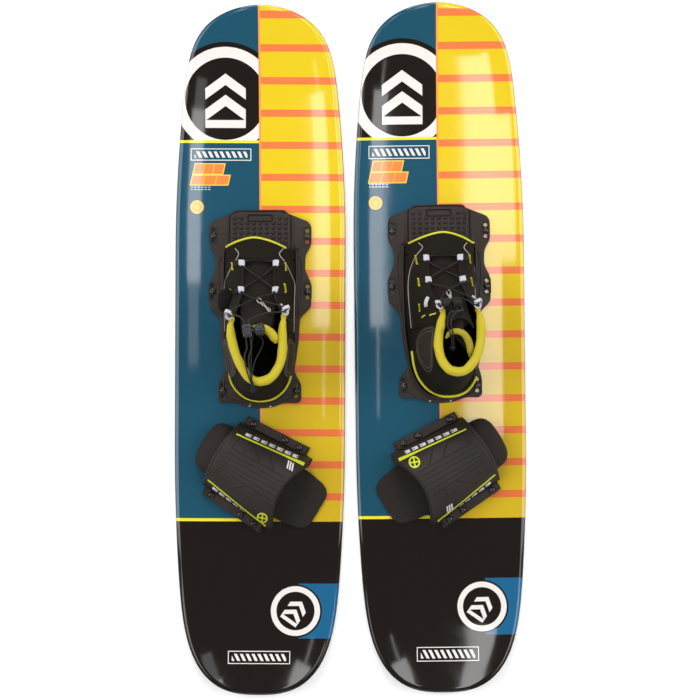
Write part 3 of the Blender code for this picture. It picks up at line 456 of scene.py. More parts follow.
def grid(nu, nv, fn, uvfn=None):
    verts = [tuple(fn(i / nu, j / nv)) for i in range(nu + 1) for j in range(nv + 1)]
    faces = [(i * (nv + 1) + j, (i + 1) * (nv + 1) + j, (i + 1) * (nv + 1) + j + 1, i * (nv + 1) + j + 1)
             for i in range(nu) for j in range(nv)]
    if uvfn:
        uv = [uvfn(i / nu, j / nv) for i in range(nu + 1) for j in range(nv + 1)]
    else:
        P = np.array(verts).reshape(nu + 1, nv + 1, 3)
        lu = np.r_[0, np.cumsum(np.linalg.norm(np.diff(P[:, nv // 2], axis=0), axis=1))]
        lv = np.r_[0, np.cumsum(np.linalg.norm(np.diff(P[nu // 2], axis=0), axis=1))]
        uv = [(lu[i], lv[j]) for i in range(nu + 1) for j in range(nv + 1)]
    return verts, faces, uv


def shell(side, name, g, thick, mat, body, slot=None, bevel=0.0, angle=50):
    """Open surface with thickness inwards and softened rims."""
    verts, faces, uv = g
    ob = put(side, name, verts, faces, mat, body, uv=uv, slot=slot, angle=angle)
    md = ob.modifiers.new("thickness", "SOLIDIFY")
    md.thickness = thick
    md.offset = -1.0
    md.use_even_offset = False
    if bevel:
        bv = ob.modifiers.new("soft_rim", "BEVEL")
        bv.width = bevel
        bv.segments = 2
        bv.limit_method = "ANGLE"
        bv.angle_limit = math.radians(60)
    return ob


def frames(P, closed=False):
    n = len(P)
    T = np.zeros_like(P)
    for i in range(n):
        a = P[(i - 1) % n] if closed else P[max(0, i - 1)]
        b = P[(i + 1) % n] if closed else P[min(n - 1, i + 1)]
        T[i] = (b - a) / (np.linalg.norm(b - a) + 1e-12)
    ref = np.array((0, 0, 1.0)) if abs(T[0][2]) < 0.9 else np.array((1.0, 0, 0))
    B = np.cross(T[0], ref)
    B /= np.linalg.norm(B)
    out = []
    for i in range(n):
        B = B - T[i] * B.dot(T[i])
        B /= np.linalg.norm(B) + 1e-12
        out.append((B.copy(), np.cross(B, T[i])))
    return T, out


def tube_data(P, r, sides=12, dome=True, flat=1.0):
    """Tube along P with rounded ends; r may vary. flat squashes it along the second axis."""
    P = np.asarray(P, float)
    n = len(P)
    R = np.full(n, float(r)) if np.isscalar(r) else np.asarray(r, float)
    T, F = frames(P)
    rows = []
    if dome:
        for k in (0.0, 0.38, 0.71, 0.92):
            rows.append((P[0] - T[0] * R[0] * math.cos(math.asin(k)) * 0.9, R[0] * k if k else R[0] * 0.06, F[0]))
    rows += [(P[i], R[i], F[i]) for i in range(n)]
    if dome:
        for k in (0.92, 0.71, 0.38, 0.0):
            rows.append((P[-1] + T[-1] * R[-1] * math.cos(math.asin(k)) * 0.9, R[-1] * k if k else R[-1] * 0.06, F[-1]))
    C = np.array([q[0] for q in rows])
    L = np.r_[0, np.cumsum(np.linalg.norm(np.diff(C, axis=0), axis=1))]
    verts, uv = [], []
    for (c, rr, (b, d)), l in zip(rows, L):
        for k in range(sides):
            a = 2 * math.pi * k / sides
            verts.append(tuple(c + b * math.cos(a) * rr + d * math.sin(a) * rr * flat))
            uv.append((l, k / sides * 2 * math.pi * float(R.mean())))
    m = len(rows)
    faces = []
    for i in range(m - 1):
        for k in range(sides):
            kn = (k + 1) % sides
            faces.append((i * sides + k, i * sides + kn, (i + 1) * sides + kn, (i + 1) * sides + k))
    faces.append(tuple(reversed(range(sides))))
    faces.append(tuple((m - 1) * sides + k for k in range(sides)))
    return verts, faces, uv


def tube(side, name, P, r, mat, body, sides=12, slot=None, flat=1.0, dome=True):
    v, f, uv = tube_data(P, r, sides, dome, flat)
    return outward(put(side, name, v, f, mat, body, uv=uv, slot=slot, angle=60))


def merge(parts):
    """Several (verts, faces, uv) as one."""
    V, F, U = [], [], []
    for v, f, u in parts:
        b = len(V)
        V += list(v)
        F += [tuple(i + b for i in q) for q in f]
        U += list(u)
    return V, F, U


def chaikin(pts, n=2):
    P = [np.array(p, float) for p in pts]
    for _ in range(n):
        Q = []
        for i in range(len(P)):
            a, b = P[i], P[(i + 1) % len(P)]
            Q += [a * 0.75 + b * 0.25, a * 0.25 + b * 0.75]
        P = Q
    return [tuple(p) for p in P]


def rounded(pts, r=0.002, n=4):
    """Corners of a closed outline cut with a radius of about r."""
    P = [np.array(p, float) for p in pts]
    out = []
    for i in range(len(P)):
        a, b, c = P[i - 1], P[i], P[(i + 1) % len(P)]
        d0, d1 = a - b, c - b
        l0, l1 = np.linalg.norm(d0), np.linalg.norm(d1)
        k = min(r, 0.45 * l0, 0.45 * l1)
        p0, p1 = b + d0 / l0 * k, b + d1 / l1 * k
        for j in range(n + 1):
            t = j / n
            out.append(tuple(p0 * (1 - t) ** 2 + b * 2 * t * (1 - t) + p1 * t * t))
    return out


def plate2d(side, name, loops, z0, z1, bevel, mat, body, slot=None, res=2):
    """A flat outline with holes made solid between z0 and z1 with rounded edges."""
    cu = bpy.data.curves.new(name + "_c", "CURVE")
    cu.dimensions = "2D"
    cu.fill_mode = "BOTH"
    for loop in loops:
        sp = cu.splines.new("POLY")
        sp.points.add(len(loop) - 1)
        for p, (x, y) in zip(sp.points, loop):
            p.co = (x, y, 0, 1)
        sp.use_cyclic_u = True
    cu.extrude = (z1 - z0) / 2 - bevel
    cu.bevel_depth = bevel
    cu.bevel_resolution = res
    cu.offset = -bevel
    tmp = bpy.data.objects.new(name + "_c", cu)
    scene.collection.objects.link(tmp)
    bpy.context.view_layer.update()
    me = bpy.data.meshes.new_from_object(tmp.evaluated_get(bpy.context.evaluated_depsgraph_get()))
    bpy.data.objects.remove(tmp)
    bm = bmesh.new()
    bm.from_mesh(me)
    bmesh.ops.remove_doubles(bm, verts=bm.verts, dist=1e-6)
    bmesh.ops.recalc_face_normals(bm, faces=bm.faces)
    bm.verts.ensure_lookup_table()
    verts = [(v.co.x, v.co.y, v.co.z + (z0 + z1) / 2) for v in bm.verts]
    faces = [tuple(v.index for v in f.verts) for f in bm.faces]
    bm.free()
    bpy.data.meshes.remove(me)
    uv = [(v[0], v[1]) for v in verts]
    return put(side, name, verts, faces, mat, body, uv=uv, slot=slot, angle=50)


def circle(x, y, r, n=16):
    return [(x + r * math.cos(2 * math.pi * k / n), y + r * math.sin(2 * math.pi * k / n)) for k in range(n)]


def lathe(profile, at, ax, sides=20):
    """Turned solid: profile (distance along ax, radius), from the point at."""
    ax = np.array(ax, float) / np.linalg.norm(ax)
    e1 = np.cross(ax, (0, 0, 1.0) if abs(ax[2]) < 0.9 else (1.0, 0, 0))
    e1 /= np.linalg.norm(e1)
    e2 = np.cross(ax, e1)
    V, F, U = [], [], []
    for d, r in profile:
        for k in range(sides):
            a = 2 * math.pi * k / sides
            V.append(tuple(np.array(at) + ax * d + (e1 * math.cos(a) + e2 * math.sin(a)) * max(r, 1e-5)))
            U.append((a * 0.004, d))
    for j in range(len(profile) - 1):
        for k in range(sides):
            kn = (k + 1) % sides
            F.append((j * sides + k, j * sides + kn, (j + 1) * sides + kn, (j + 1) * sides + k))
    F.append(tuple(reversed(range(sides))))
    F.append(tuple((len(profile) - 1) * sides + k for k in range(sides)))
    return V, F, U


def capsule(a, b, r, sides=6):
    return tube_data(np.array([a, np.array(a) * 0.5 + np.array(b) * 0.5, b], float), r, sides=sides, dome=True)


def stitches(P, step=0.0042, length=0.0026, r=0.00032, sides=5):
    """Separate short stitches lying along a path."""
    P = np.asarray(P, float)
    s = np.r_[0, np.cumsum(np.linalg.norm(np.diff(P, axis=0), axis=1))]
    out, t = [], step * 0.3
    at = lambda u: np.array([np.interp(u, s, P[:, k]) for k in range(3)])
    while t + length < s[-1]:
        out.append(capsule(at(t), at(t + length), r, sides))
        t += step
    return merge(out)


def inflate(ob, pressure, cap, frames_=20, pin=None):
    """Cloth simulation of a closed fabric form under inner pressure, applied to its mesh."""
    me = ob.data
    n = len(me.vertices)
    rest = np.zeros(n * 3, np.float32)
    me.vertices.foreach_get("co", rest)
    rest = rest.reshape(-1, 3)
    tmp = bpy.data.objects.new(ob.name + "_sim", me.copy())
    scene.collection.objects.link(tmp)
    if pin is not None:
        vg = tmp.vertex_groups.new(name="pin")
        for i, w in enumerate(pin):
            if w > 0:
                vg.add([i], float(w), "REPLACE")
    md = tmp.modifiers.new("cloth", "CLOTH")
    st = md.settings
    st.quality = 6
    st.mass = 0.15
    st.use_pressure = True
    st.uniform_pressure_force = pressure
    st.tension_stiffness = 8
    st.compression_stiffness = 8
    st.bending_stiffness = 0.4
    st.effector_weights.gravity = 0
    if pin is not None:
        st.vertex_group_mass = "pin"
    md.point_cache.frame_start, md.point_cache.frame_end = 1, frames_
    for f in range(1, frames_ + 1):
        scene.frame_set(f)
    e = tmp.evaluated_get(bpy.context.evaluated_depsgraph_get())
    co = np.zeros(n * 3, np.float32)
    e.data.vertices.foreach_get("co", co)
    co = co.reshape(-1, 3)
    d = co - rest
    l = np.linalg.norm(d, axis=1, keepdims=True)
    d = d * np.minimum(1.0, cap / np.maximum(l, 1e-9))
    d[~np.isfinite(d)] = 0
    me.vertices.foreach_set("co", (rest + d).astype(np.float32).ravel())
    me.update()
    bpy.data.objects.remove(tmp)
    scene.frame_set(1)
    return ob


# ============================================================ material helpers
class E:
    """A value in a material's node tree."""

    def __init__(self, g, o):
        self.g, self.o = g, o

    def __add__(self, b): return self.g.m("ADD", self, b)
    def __radd__(self, b): return self.g.m("ADD", self, b)
    def __sub__(self, b): return self.g.m("SUBTRACT", self, b)
    def __rsub__(self, b): return self.g.m("SUBTRACT", b, self)
    def __mul__(self, b): return self.g.m("MULTIPLY", self, b)
    def __rmul__(self, b): return self.g.m("MULTIPLY", self, b)
    def __truediv__(self, b): return self.g.m("DIVIDE", self, b)
    def __neg__(self): return self.g.m("MULTIPLY", self, -1.0)
    def __lt__(self, b): return self.g.m("LESS_THAN", self, b)
    def __gt__(self, b): return self.g.m("GREATER_THAN", self, b)
    def __abs__(self): return self.g.m("ABSOLUTE", self)
    def frac(self): return self.g.m("FRACT", self)
    def sin(self): return self.g.m("SINE", self)
    def max(self, b): return self.g.m("MAXIMUM", self, b)
    def min(self, b): return self.g.m("MINIMUM", self, b)
    def inv(self): return self.g.m("SUBTRACT", 1.0, self)


class G:
    """A Principled material under construction."""

    def __init__(self, name, color=(0.5, 0.5, 0.5), rough=0.5, metal=0.0, **sockets):
        self.mat = bpy.data.materials.new(name)
        self.mat.use_nodes = True
        self.t = self.mat.node_tree
        self.b = self.t.nodes["Principled BSDF"]
        self.b.inputs["Base Color"].default_value = (*color, 1)
        self.b.inputs["Roughness"].default_value = rough
        self.b.inputs["Metallic"].default_value = metal
        self.color = color
        for k, v in sockets.items():
            self.b.inputs[k.replace("_", " ")].default_value = v
        self.mat.diffuse_color = (*color, 1)

    def put(self, sock, x):
        if isinstance(x, E):
            self.t.links.new(x.o, sock)
        else:
            sock.default_value = x

    def m(self, op, *a):
        n = self.t.nodes.new("ShaderNodeMath")
        n.operation = op
        for i, x in enumerate(a):
            self.put(n.inputs[i], x if isinstance(x, E) else float(x))
        return E(self, n.outputs[0])

    def uv(self):
        n = self.t.nodes.new("ShaderNodeUVMap")
        n.uv_map = "UVMap"
        s = self.t.nodes.new("ShaderNodeSeparateXYZ")
        self.t.links.new(n.outputs[0], s.inputs[0])
        return E(self, s.outputs[0]), E(self, s.outputs[1]), E(self, n.outputs[0])

    def obj(self):
        n = self.t.nodes.new("ShaderNodeTexCoord")
        return E(self, n.outputs["Object"])

    def noise(self, vec, scale, detail=3.0, rough=0.55, stretch=None):
        if stretch:
            mp = self.t.nodes.new("ShaderNodeMapping")
            mp.inputs["Scale"].default_value = stretch
            self.t.links.new(vec.o, mp.inputs[0])
            vec = E(self, mp.outputs[0])
        n = self.t.nodes.new("ShaderNodeTexNoise")
        n.inputs["Scale"].default_value = scale
        n.inputs["Detail"].default_value = detail
        n.inputs["Roughness"].default_value = rough
        self.t.links.new(vec.o, n.inputs["Vector"])
        return E(self, n.outputs["Fac"] if "Fac" in n.outputs else n.outputs[0])

    def voronoi(self, vec, scale, feature="F1"):
        n = self.t.nodes.new("ShaderNodeTexVoronoi")
        n.feature = feature
        n.inputs["Scale"].default_value = scale
        self.t.links.new(vec.o, n.inputs["Vector"])
        return E(self, n.outputs["Distance"])

    def mix(self, f, a, b):
        n = self.t.nodes.new("ShaderNodeMix")
        n.data_type = "RGBA"
        self.put(n.inputs[0], f)
        for i, x in ((6, a), (7, b)):
            if isinstance(x, E):
                self.t.links.new(x.o, n.inputs[i])
            else:
                n.inputs[i].default_value = (*x, 1)
        return E(self, n.outputs[2])

    def remap(self, x, a, b, c, d):
        n = self.t.nodes.new("ShaderNodeMapRange")
        for i, v in enumerate((x, a, b, c, d)):
            self.put(n.inputs[i], v)
        return E(self, n.outputs[0])

    def base(self, x):
        self.t.links.new(x.o, self.b.inputs["Base Color"])

    def rough(self, x):
        self.t.links.new(x.o, self.b.inputs["Roughness"])

    def bump(self, h, strength, dist):
        n = self.t.nodes.new("ShaderNodeBump")
        n.inputs["Strength"].default_value = strength
        n.inputs["Distance"].default_value = dist
        self.t.links.new(h.o, n.inputs["Height"])
        self.t.links.new(n.outputs[0], self.b.inputs["Normal"])
        return n


TEAL, YELLOW, ORANGE = (0.0092, 0.0715, 0.1200), (0.760, 0.555, 0.0140), (0.800, 0.190, 0.058)
INK, PAPER, BLUE, LINE_Y = (0.0085, 0.0052, 0.0034), (0.790, 0.745, 0.710), (0.0100, 0.1150, 0.2450), (0.86, 0.70, 0.030)


def deck_material(side):
    g = G(side.tag + "_deck_print", TEAL, 0.07, Coat_Weight=0.0, IOR=1.5)
    U, V, _ = g.uv()
    u, v = U * 1000.0, V * 1000.0
    r = side.tag == "right"
    D = side.deck
    edge = (v * -0.00704 + 0.76) if not r else (v * 0.0 - 0.85)

    def band(x, a, b):
        return (x > min(a, b)) * (x < max(a, b))

    def rect(p0, p1, skew=0.0, grow=0.0):
        (a, b), (c, d) = D(*p0), D(*p1)
        uu = u + (v - (b + d) / 2) * skew if skew else u
        return band(uu, min(a, c) - grow, max(a, c) + grow) * band(v, min(b, d) - grow, max(b, d) + grow)

    def radius(c):
        return g.m("SQRT", (u - c[0]) * (u - c[0]) + (v - c[1]) * (v - c[1]))

    v_end = D(260 if not r else 440, 521.4 if not r else 518.4)[1]
    v_line = D(220 if not r else 400, 141.7 if not r else 138.7)[1]
    c0 = D(300 if not r else 480, 17.8 if not r else 14.95)[1]
    wob = g.noise(g.obj(), 6.0, 2.0)
    # colour fields
    right_half = u > edge
    main = v > v_end
    # the yellow and orange stripes darken towards the tail: painted shade
    painted_shade_to_tail = g.remap(v, -40.0, 235.0, 1.0, 0.0)
    yellow = g.mix(painted_shade_to_tail, g.mix(wob, YELLOW, (0.730, 0.515, 0.0130)), (0.585, 0.395, 0.0150))
    stripe = (g.m("ABSOLUTE", ((c0 - v) / 49.17 + 0.5).frac() - 0.5) < 5.6 / 49.17) * (v < c0 + 6)
    col = g.mix(right_half, TEAL, g.mix(stripe, yellow, g.mix(painted_shade_to_tail, ORANGE, (0.690, 0.150, 0.047))))
    # big roundel on the teal half
    c = D(225.8, 99.5) if not r else D(402.0, 96.0)
    rr = radius(c)
    field = (u < edge) * (v > v_line)
    black = (rr < 85.8).max(v < c[1]) * field
    col = g.mix(black, col, INK)
    ring = (rr < 78.5) * (rr > 62.4) * field
    col = g.mix(ring, col, PAPER)
    uu, vv = u - c[0], v - c[1]
    chev = abs(abs(uu) * 0.72 + vv - 30.0) < 8.5
    chev2 = abs(abs(uu) * 0.72 + vv + 2.0) < 8.5
    bar = band(vv, -44.0, -32.0)
    mark = chev.max(chev2).max(bar) * (abs(uu) < 31.0) * (rr < 55.0) * field
    col = g.mix(mark, col, PAPER)
    # lines
    col = g.mix(band(v, v_line - 2.1, v_line + 2.1) * (u < edge), col, LINE_Y)
    col = g.mix((abs(u - edge - 0.6) < 1.5), col, (0.86, 0.30, 0.075))

    # outlined box with plain slanted bars
    def boxed(col, p0, p1):
        (a, b), (cc, d) = D(*p0), D(*p1)
        cu, cv = (a + cc) / 2, (b + d) / 2
        hu, hv = abs(cc - a) / 2, abs(d - b) / 2
        x, y = abs(u - cu), abs(v - cv)
        outer = (x < hu) * (y < hv)
        inner = (x < hu - 1.3) * (y < hv - 1.3)
        col = g.mix(outer * inner.inv(), col, PAPER)
        bars = (((u - cu) + (v - cv) * 0.5) / 9.0).frac() < 0.52
        return g.mix(bars * (x < hu - 6.0) * (y < hv - 4.6), col, PAPER)

    box = ((190.7, 148.4), (251.3, 160.7)) if not r else ((368.5, 146.0), (429.5, 158.5))
    col = boxed(col, *box)
    # two slanted blocks
    rows = (((194.5, 164.2), (223.5, 173.8)), ((192.0, 175.6), (228.6, 184.6))) if not r else \
        (((372.6, 161.7), (402.0, 171.2)), ((370.2, 173.0), (406.6, 182.2)))
    for p0, p1 in rows:
        col = g.mix(rect(p0, p1, -0.22, 1.6), col, (0.88, 0.62, 0.06))
        w = p1[0] - p0[0]
        col = g.mix(rect(p0, p1, -0.22, 0.0), col, (0.87, 0.235, 0.055))
        for k in (0.32, 0.66):
            col = g.mix(rect((p0[0] + w * k - 0.35, p0[1]), (p0[0] + w * k + 0.35, p1[1]), -0.22), col, (0.88, 0.62, 0.06))
    # small dashes
    p = (190.5, 186.6) if not r else (369.2, 184.0)
    for k in range(2):
        a = rect((p[0], p[1] + 2.4 * k), (p[0] + 20, p[1] + 2.4 * k + 0.9))
        col = g.mix(a * (((u / 5.4).frac()) < 0.72), col, (0.55, 0.60, 0.62))
    # round sticker
    s = D(197, 207) if not r else D(375.5, 203)
    rs = radius(s)
    col = g.mix(rs < 10.4, col, (0.90, 0.50, 0.10))
    col = g.mix((rs < 6.2) * (rs > 4.9), col, (0.85, 0.30, 0.06))
    # black tail
    col = g.mix(main.inv(), col, INK)
    col = g.mix(band(v, v_end, v_end + 4.6) * (u < edge), col, LINE_Y)
    bp0, bp1 = ((298.7, 583.5), (360.0, 638.2)) if not r else ((485.0, 577.9), (560.0, 633.3))
    col = g.mix(rect(bp0, bp1), col, BLUE)
    c2 = D(295.5, 610.8) if not r else D(482.0, 606.2)
    r2 = radius(c2)
    col = g.mix(r2 < 40.6, col, INK)
    col = g.mix((r2 < 37.9) * (r2 > 29.4), col, PAPER)
    ca, sa = math.cos(math.radians(-35)), math.sin(math.radians(-35))
    x2, y2 = u - c2[0], v - c2[1]
    a2, b2 = x2 * ca + y2 * sa, y2 * ca - x2 * sa
    m2 = (abs(abs(a2) * 0.72 + b2 - 13.5) < 4.0).max(abs(abs(a2) * 0.72 + b2 + 1.5) < 4.0).max(band(b2, -20.5, -15.0))
    col = g.mix(m2 * (abs(a2) < 14.5) * (r2 < 25.5), col, PAPER)
    box = ((228.3, 650.0), (290.3, 663.0)) if not r else ((416.6, 646.4), (478.7, 659.8))
    col = boxed(col, *box)
    g.base(col)
    # clear coat with faint handling marks
    fine = g.noise(g.obj(), 40.0, 4.0)
    scr = g.noise(g.obj(), 18.0, 5.0, 0.7, stretch=(60.0, 2.0, 2.0))
    g.rough(g.remap(fine * 0.5 + scr * 0.5, 0.35, 0.75, 0.035, 0.085))
    g.bump(g.noise(g.obj(), 26.0, 2.0), 0.05, 0.0004)
    return g.mat


def grained(name, color, rough, scale=900.0, strength=0.25, dist=0.0003, wear=0.0, **kw):
    g = G(name, color, rough, **kw)
    o = g.obj()
    n = g.noise(o, scale, 3.0, 0.6)
    big = g.noise(o, 14.0, 3.0)
    tint = tuple(min(1.0, c * 1.55 + 0.002) for c in color)
    g.base(g.mix(g.remap(big, 0.35, 0.7, 0.0, 0.55), color, tint))
    g.rough(g.remap(n * 0.6 + big * 0.4, 0.3, 0.7, rough - 0.08, min(1.0, rough + 0.10)))
    g.bump(n, strength, dist)
    return g.mat


def woven(name, color, pitch, rough=0.85, strength=0.5, dist=0.0002, color2=None, tw=1.0, **kw):
    """Two-way weave in surface metres, with slow colour variation."""
    g = G(name, color, rough, **kw)
    u, v, uv = g.uv()
    k = 2 * math.pi / pitch
    a = (u * k).sin()
    b = (v * (k * tw)).sin()
    h = (a * b) * 0.5 + 0.5
    o = g.obj()
    n = g.noise(o, 60.0, 4.0, 0.6)
    c2 = color2 or tuple(min(1.0, c * 1.5 + 0.003) for c in color)
    g.base(g.mix(h * 0.55 + n * 0.45, color, c2))
    g.rough(g.remap(n, 0.3, 0.7, rough - 0.08, min(1.0, rough + 0.08)))
    g.bump(h * 0.75 + n * 0.25, strength, dist)
    return g.mat


M = {}
M["base"] = grained("running_base", (0.0090, 0.0080, 0.0074), 0.32, 60.0, 0.05, 0.0002)
M["plate"] = grained("moulded_nylon", (0.0225, 0.0145, 0.0112), 0.46, 1100.0, 0.28, 0.00025, Specular_IOR_Level=0.28)
# dark material of the rings that paint shadow round the grip dots, the label and the platform's foot
M["recess"] = grained("moulded_recess", (0.0072, 0.0056, 0.0048), 0.60, 1100.0, 0.2, 0.0002, Specular_IOR_Level=0.15)
M["boot"] = woven("boot_fabric", (0.0092, 0.0074, 0.0046), 0.0011, 0.90, 0.55, 0.00018, Specular_IOR_Level=0.12)
# darker copy of the boot fabric for the side fold: painted shade
M["fold"] = woven("fold_fabric", (0.0030, 0.0026, 0.0022), 0.0011, 0.90, 0.55, 0.00018, Specular_IOR_Level=0.12)
M["boot2"] = woven("boot_mesh_fabric", (0.0115, 0.0082, 0.0060), 0.0018, 0.85, 0.8, 0.00035, Specular_IOR_Level=0.14)
M["panel"] = woven("boot_side_panel", (0.0175, 0.0140, 0.0100), 0.0009, 0.80, 0.5, 0.00018, Specular_IOR_Level=0.20)
M["neoprene"] = woven("neoprene_jersey", (0.0195, 0.0150, 0.0128), 0.0007, 0.92, 0.35, 0.00012, Specular_IOR_Level=0.14)
M["lining"] = woven("boot_lining", (0.0045, 0.0040, 0.0036), 0.0010, 0.95, 0.4, 0.00015, Specular_IOR_Level=0.1)
M["collar"] = woven("collar_fabric", (0.450, 0.370, 0.0150), 0.00075, 0.80, 0.35, 0.00014, color2=(0.545, 0.450, 0.0300),
                    Specular_IOR_Level=0.25)
M["collar_in"] = woven("collar_lining", (0.33, 0.270, 0.0200), 0.00075, 0.85, 0.35, 0.00014, color2=(0.40, 0.34, 0.035),
                       Specular_IOR_Level=0.2)
M["piping"] = woven("yellow_piping", (0.56, 0.53, 0.0150), 0.0009, 0.55, 0.3, 0.0001, color2=(0.66, 0.62, 0.03))
M["stitch_y"] = grained("yellow_thread", (0.66, 0.58, 0.0200), 0.60, 2500.0, 0.3, 0.0001)
M["stitch_g"] = grained("grey_thread", (0.150, 0.130, 0.105), 0.65, 2500.0, 0.3, 0.0001)
M["edge_g"] = grained("dark_grey_thread", (0.030, 0.027, 0.024), 0.60, 1500.0, 0.3, 0.0001)
M["edge_l"] = grained("light_grey_piping", (0.30, 0.28, 0.26), 0.45, 1500.0, 0.3, 0.0001)
M["web_w"] = woven("white_webbing", (0.44, 0.43, 0.47), 0.0012, 0.60, 0.6, 0.00018, color2=(0.60, 0.59, 0.65))
M["web_k"] = woven("black_webbing", (0.0060, 0.0056, 0.0054), 0.0012, 0.75, 0.6, 0.00018, Specular_IOR_Level=0.2)
M["lace"] = woven("braided_cord", (0.0060, 0.0054, 0.0050), 0.0010, 0.60, 0.8, 0.0002, color2=(0.020, 0.018, 0.017),
                  Specular_IOR_Level=0.35)
M["pull"] = woven("grey_braided_cord", (0.36, 0.34, 0.30), 0.0011, 0.75, 0.8, 0.0002, color2=(0.55, 0.53, 0.48))
M["toggle"] = grained("toggle_plastic", (0.0125, 0.0108, 0.0125), 0.34, 700.0, 0.10, 0.0002)
M["toggle_k"] = grained("dark_toggle_plastic", (0.0062, 0.0055, 0.0058), 0.45, 700.0, 0.10, 0.0002, Specular_IOR_Level=0.3)
M["screw"] = grained("black_oxide_steel", (0.060, 0.056, 0.052), 0.26, 500.0, 0.06, 0.0001, Metallic=1.0)
M["rivet"] = grained("dull_steel", (0.30, 0.29, 0.28), 0.35, 500.0, 0.06, 0.0001, Metallic=1.0)
M["foam"] = grained("eva_foam", (0.0080, 0.0070, 0.0063), 0.85, 1500.0, 0.3, 0.0002, Specular_IOR_Level=0.2)


def pad_material():
    g = G("eva_diamond_foam", (0.016, 0.0140, 0.0125), 0.78, Specular_IOR_Level=0.2)
    u, v, _ = g.uv()
    k = 2 * math.pi / 0.0042
    a = ((u + v * 0.6) * k).sin()
    b = ((u - v * 0.6) * k).sin()
    h = a.max(b)
    n = g.noise(g.obj(), 700.0, 3.0)
    g.base(g.mix(g.remap(h, -0.2, 1.0, 0.0, 1.0), (0.0135, 0.0105, 0.0080), (0.0270, 0.0211, 0.0170)))
    g.rough(g.remap(n, 0.3, 0.7, 0.70, 0.88))
    g.bump(h * 0.8 + n * 0.2, 0.5, 0.0005)
    return g.mat


M["pad"] = pad_material()


def strap_material(side):
    """Moulded rubber with its printed lines; uv is the plan position on the strap in metres."""
    g = G(side.tag + "_strap_print", (0.030, 0.0260, 0.0235), 0.55, Specular_IOR_Level=0.22)
    U, V, _ = g.uv()
    u, v = U * 1000.0, V * 1000.0
    o = g.obj()
    n = g.noise(o, 900.0, 3.0, 0.6)
    big = g.noise(o, 16.0, 3.0)
    col = g.mix(g.remap(big, 0.35, 0.7, 0.0, 1.0), (0.0225, 0.0172, 0.0150), (0.0310, 0.0242, 0.0210))
    lime, white = (0.62, 0.66, 0.030), (0.72, 0.71, 0.70)
    f1 = (u + 53.0) * (13.0 / 110.0) + 39.0
    f2 = (u + 55.0) * (17.0 / 110.0) + 44.0
    for sgn, f, u0, u1 in ((1.0, f1, -54.0, 58.0), (-1.0, f2, -56.0, 56.0)):
        vv = v * sgn
        wide = g.remap(u, 20.0, 56.0, 1.1, 2.4)
        col = g.mix((abs(vv - f) < wide) * (u > u0) * (u < u1), col, lime)
        # plain block pattern beside the line
        x = (u - u0 - 12.0) / 13.0
        cell = x.frac()
        row = (vv - f) > 3.4
        row2 = (vv - f) < 7.6
        blocks = (cell < 0.74) * row * row2 * (u > u0 + 12.0) * (u < u1 - 14.0)
        notch = (abs(vv - f - 5.5) < 0.55) * (cell > 0.40)
        col = g.mix(blocks * notch.inv(), col, white)
    e, w = ((45.0, -51.0), (41.0, 40.0)) if side.tag == "left" else ((39.4, 37.6), (30.0, -52.0))
    x, y = u - e[0], v - e[1]
    rr = g.m("SQRT", x * x + y * y)
    col = g.mix((rr < 8.6) * (rr > 6.4), col, lime)
    col = g.mix((abs(x + y * 0.4) < 1.2) * (rr < 6.6), col, lime)
    col = g.mix((abs(y - x * 0.4) < 1.2) * (rr < 6.6), col, lime)
    x, y = u - w[0], v - w[1]
    for k in (-4.0, 0.0, 4.0):
        col = g.mix((abs(x - k + y * 0.35) < 1.2) * (abs(y) < 5.6), col, white)
    # moulded grooves: three ribs down the middle, panels and chevrons beside them
    av = abs(v)
    inside = (u > -52.0) * (u < 46.0 - abs(v) * 0.05)

    def line(d, w):
        return g.remap(abs(d), 0.0, w, 1.0, 0.0)

    cut = line(v + 12.0 - u * 0.005, 1.3) * inside
    for c_ in (-4.6, 3.4, 11.0):
        cut = cut.max(line(v - c_ - u * 0.045, 1.3) * inside)
    edge = av - 19.5 - u * 0.035
    cut = cut.max(line(edge, 1.5) * (u > -50.5) * (u < 42.0))
    outer = (edge > -0.2) * (av < 41.0)
    cut = cut.max(line(u - 0.5 + (av - 20.0) * 1.14, 2.0) * outer)
    cut = cut.max(line(u - 22.5 + (av - 22.0) * 0.925, 2.0) * outer)
    cut = cut.max(line(u + 50.0 - (av - 19.0) * 0.22, 1.4) * outer * (av < 37.0))
    cut = cut.max(line(av - 37.0 - (u + 46.0) * 0.05, 1.4) * (u > -47.0) * (u < -20.0))
    # the grooves are darkened in colour as painted shade
    col = g.mix(cut * 0.62, col, (0.0045, 0.0040, 0.0036))
    g.base(col)
    g.rough(g.remap(n * 0.5 + big * 0.5, 0.3, 0.7, 0.46, 0.66))
    g.bump(n * 0.12 - cut * 0.9, 0.55, 0.0012)
    return g.mat


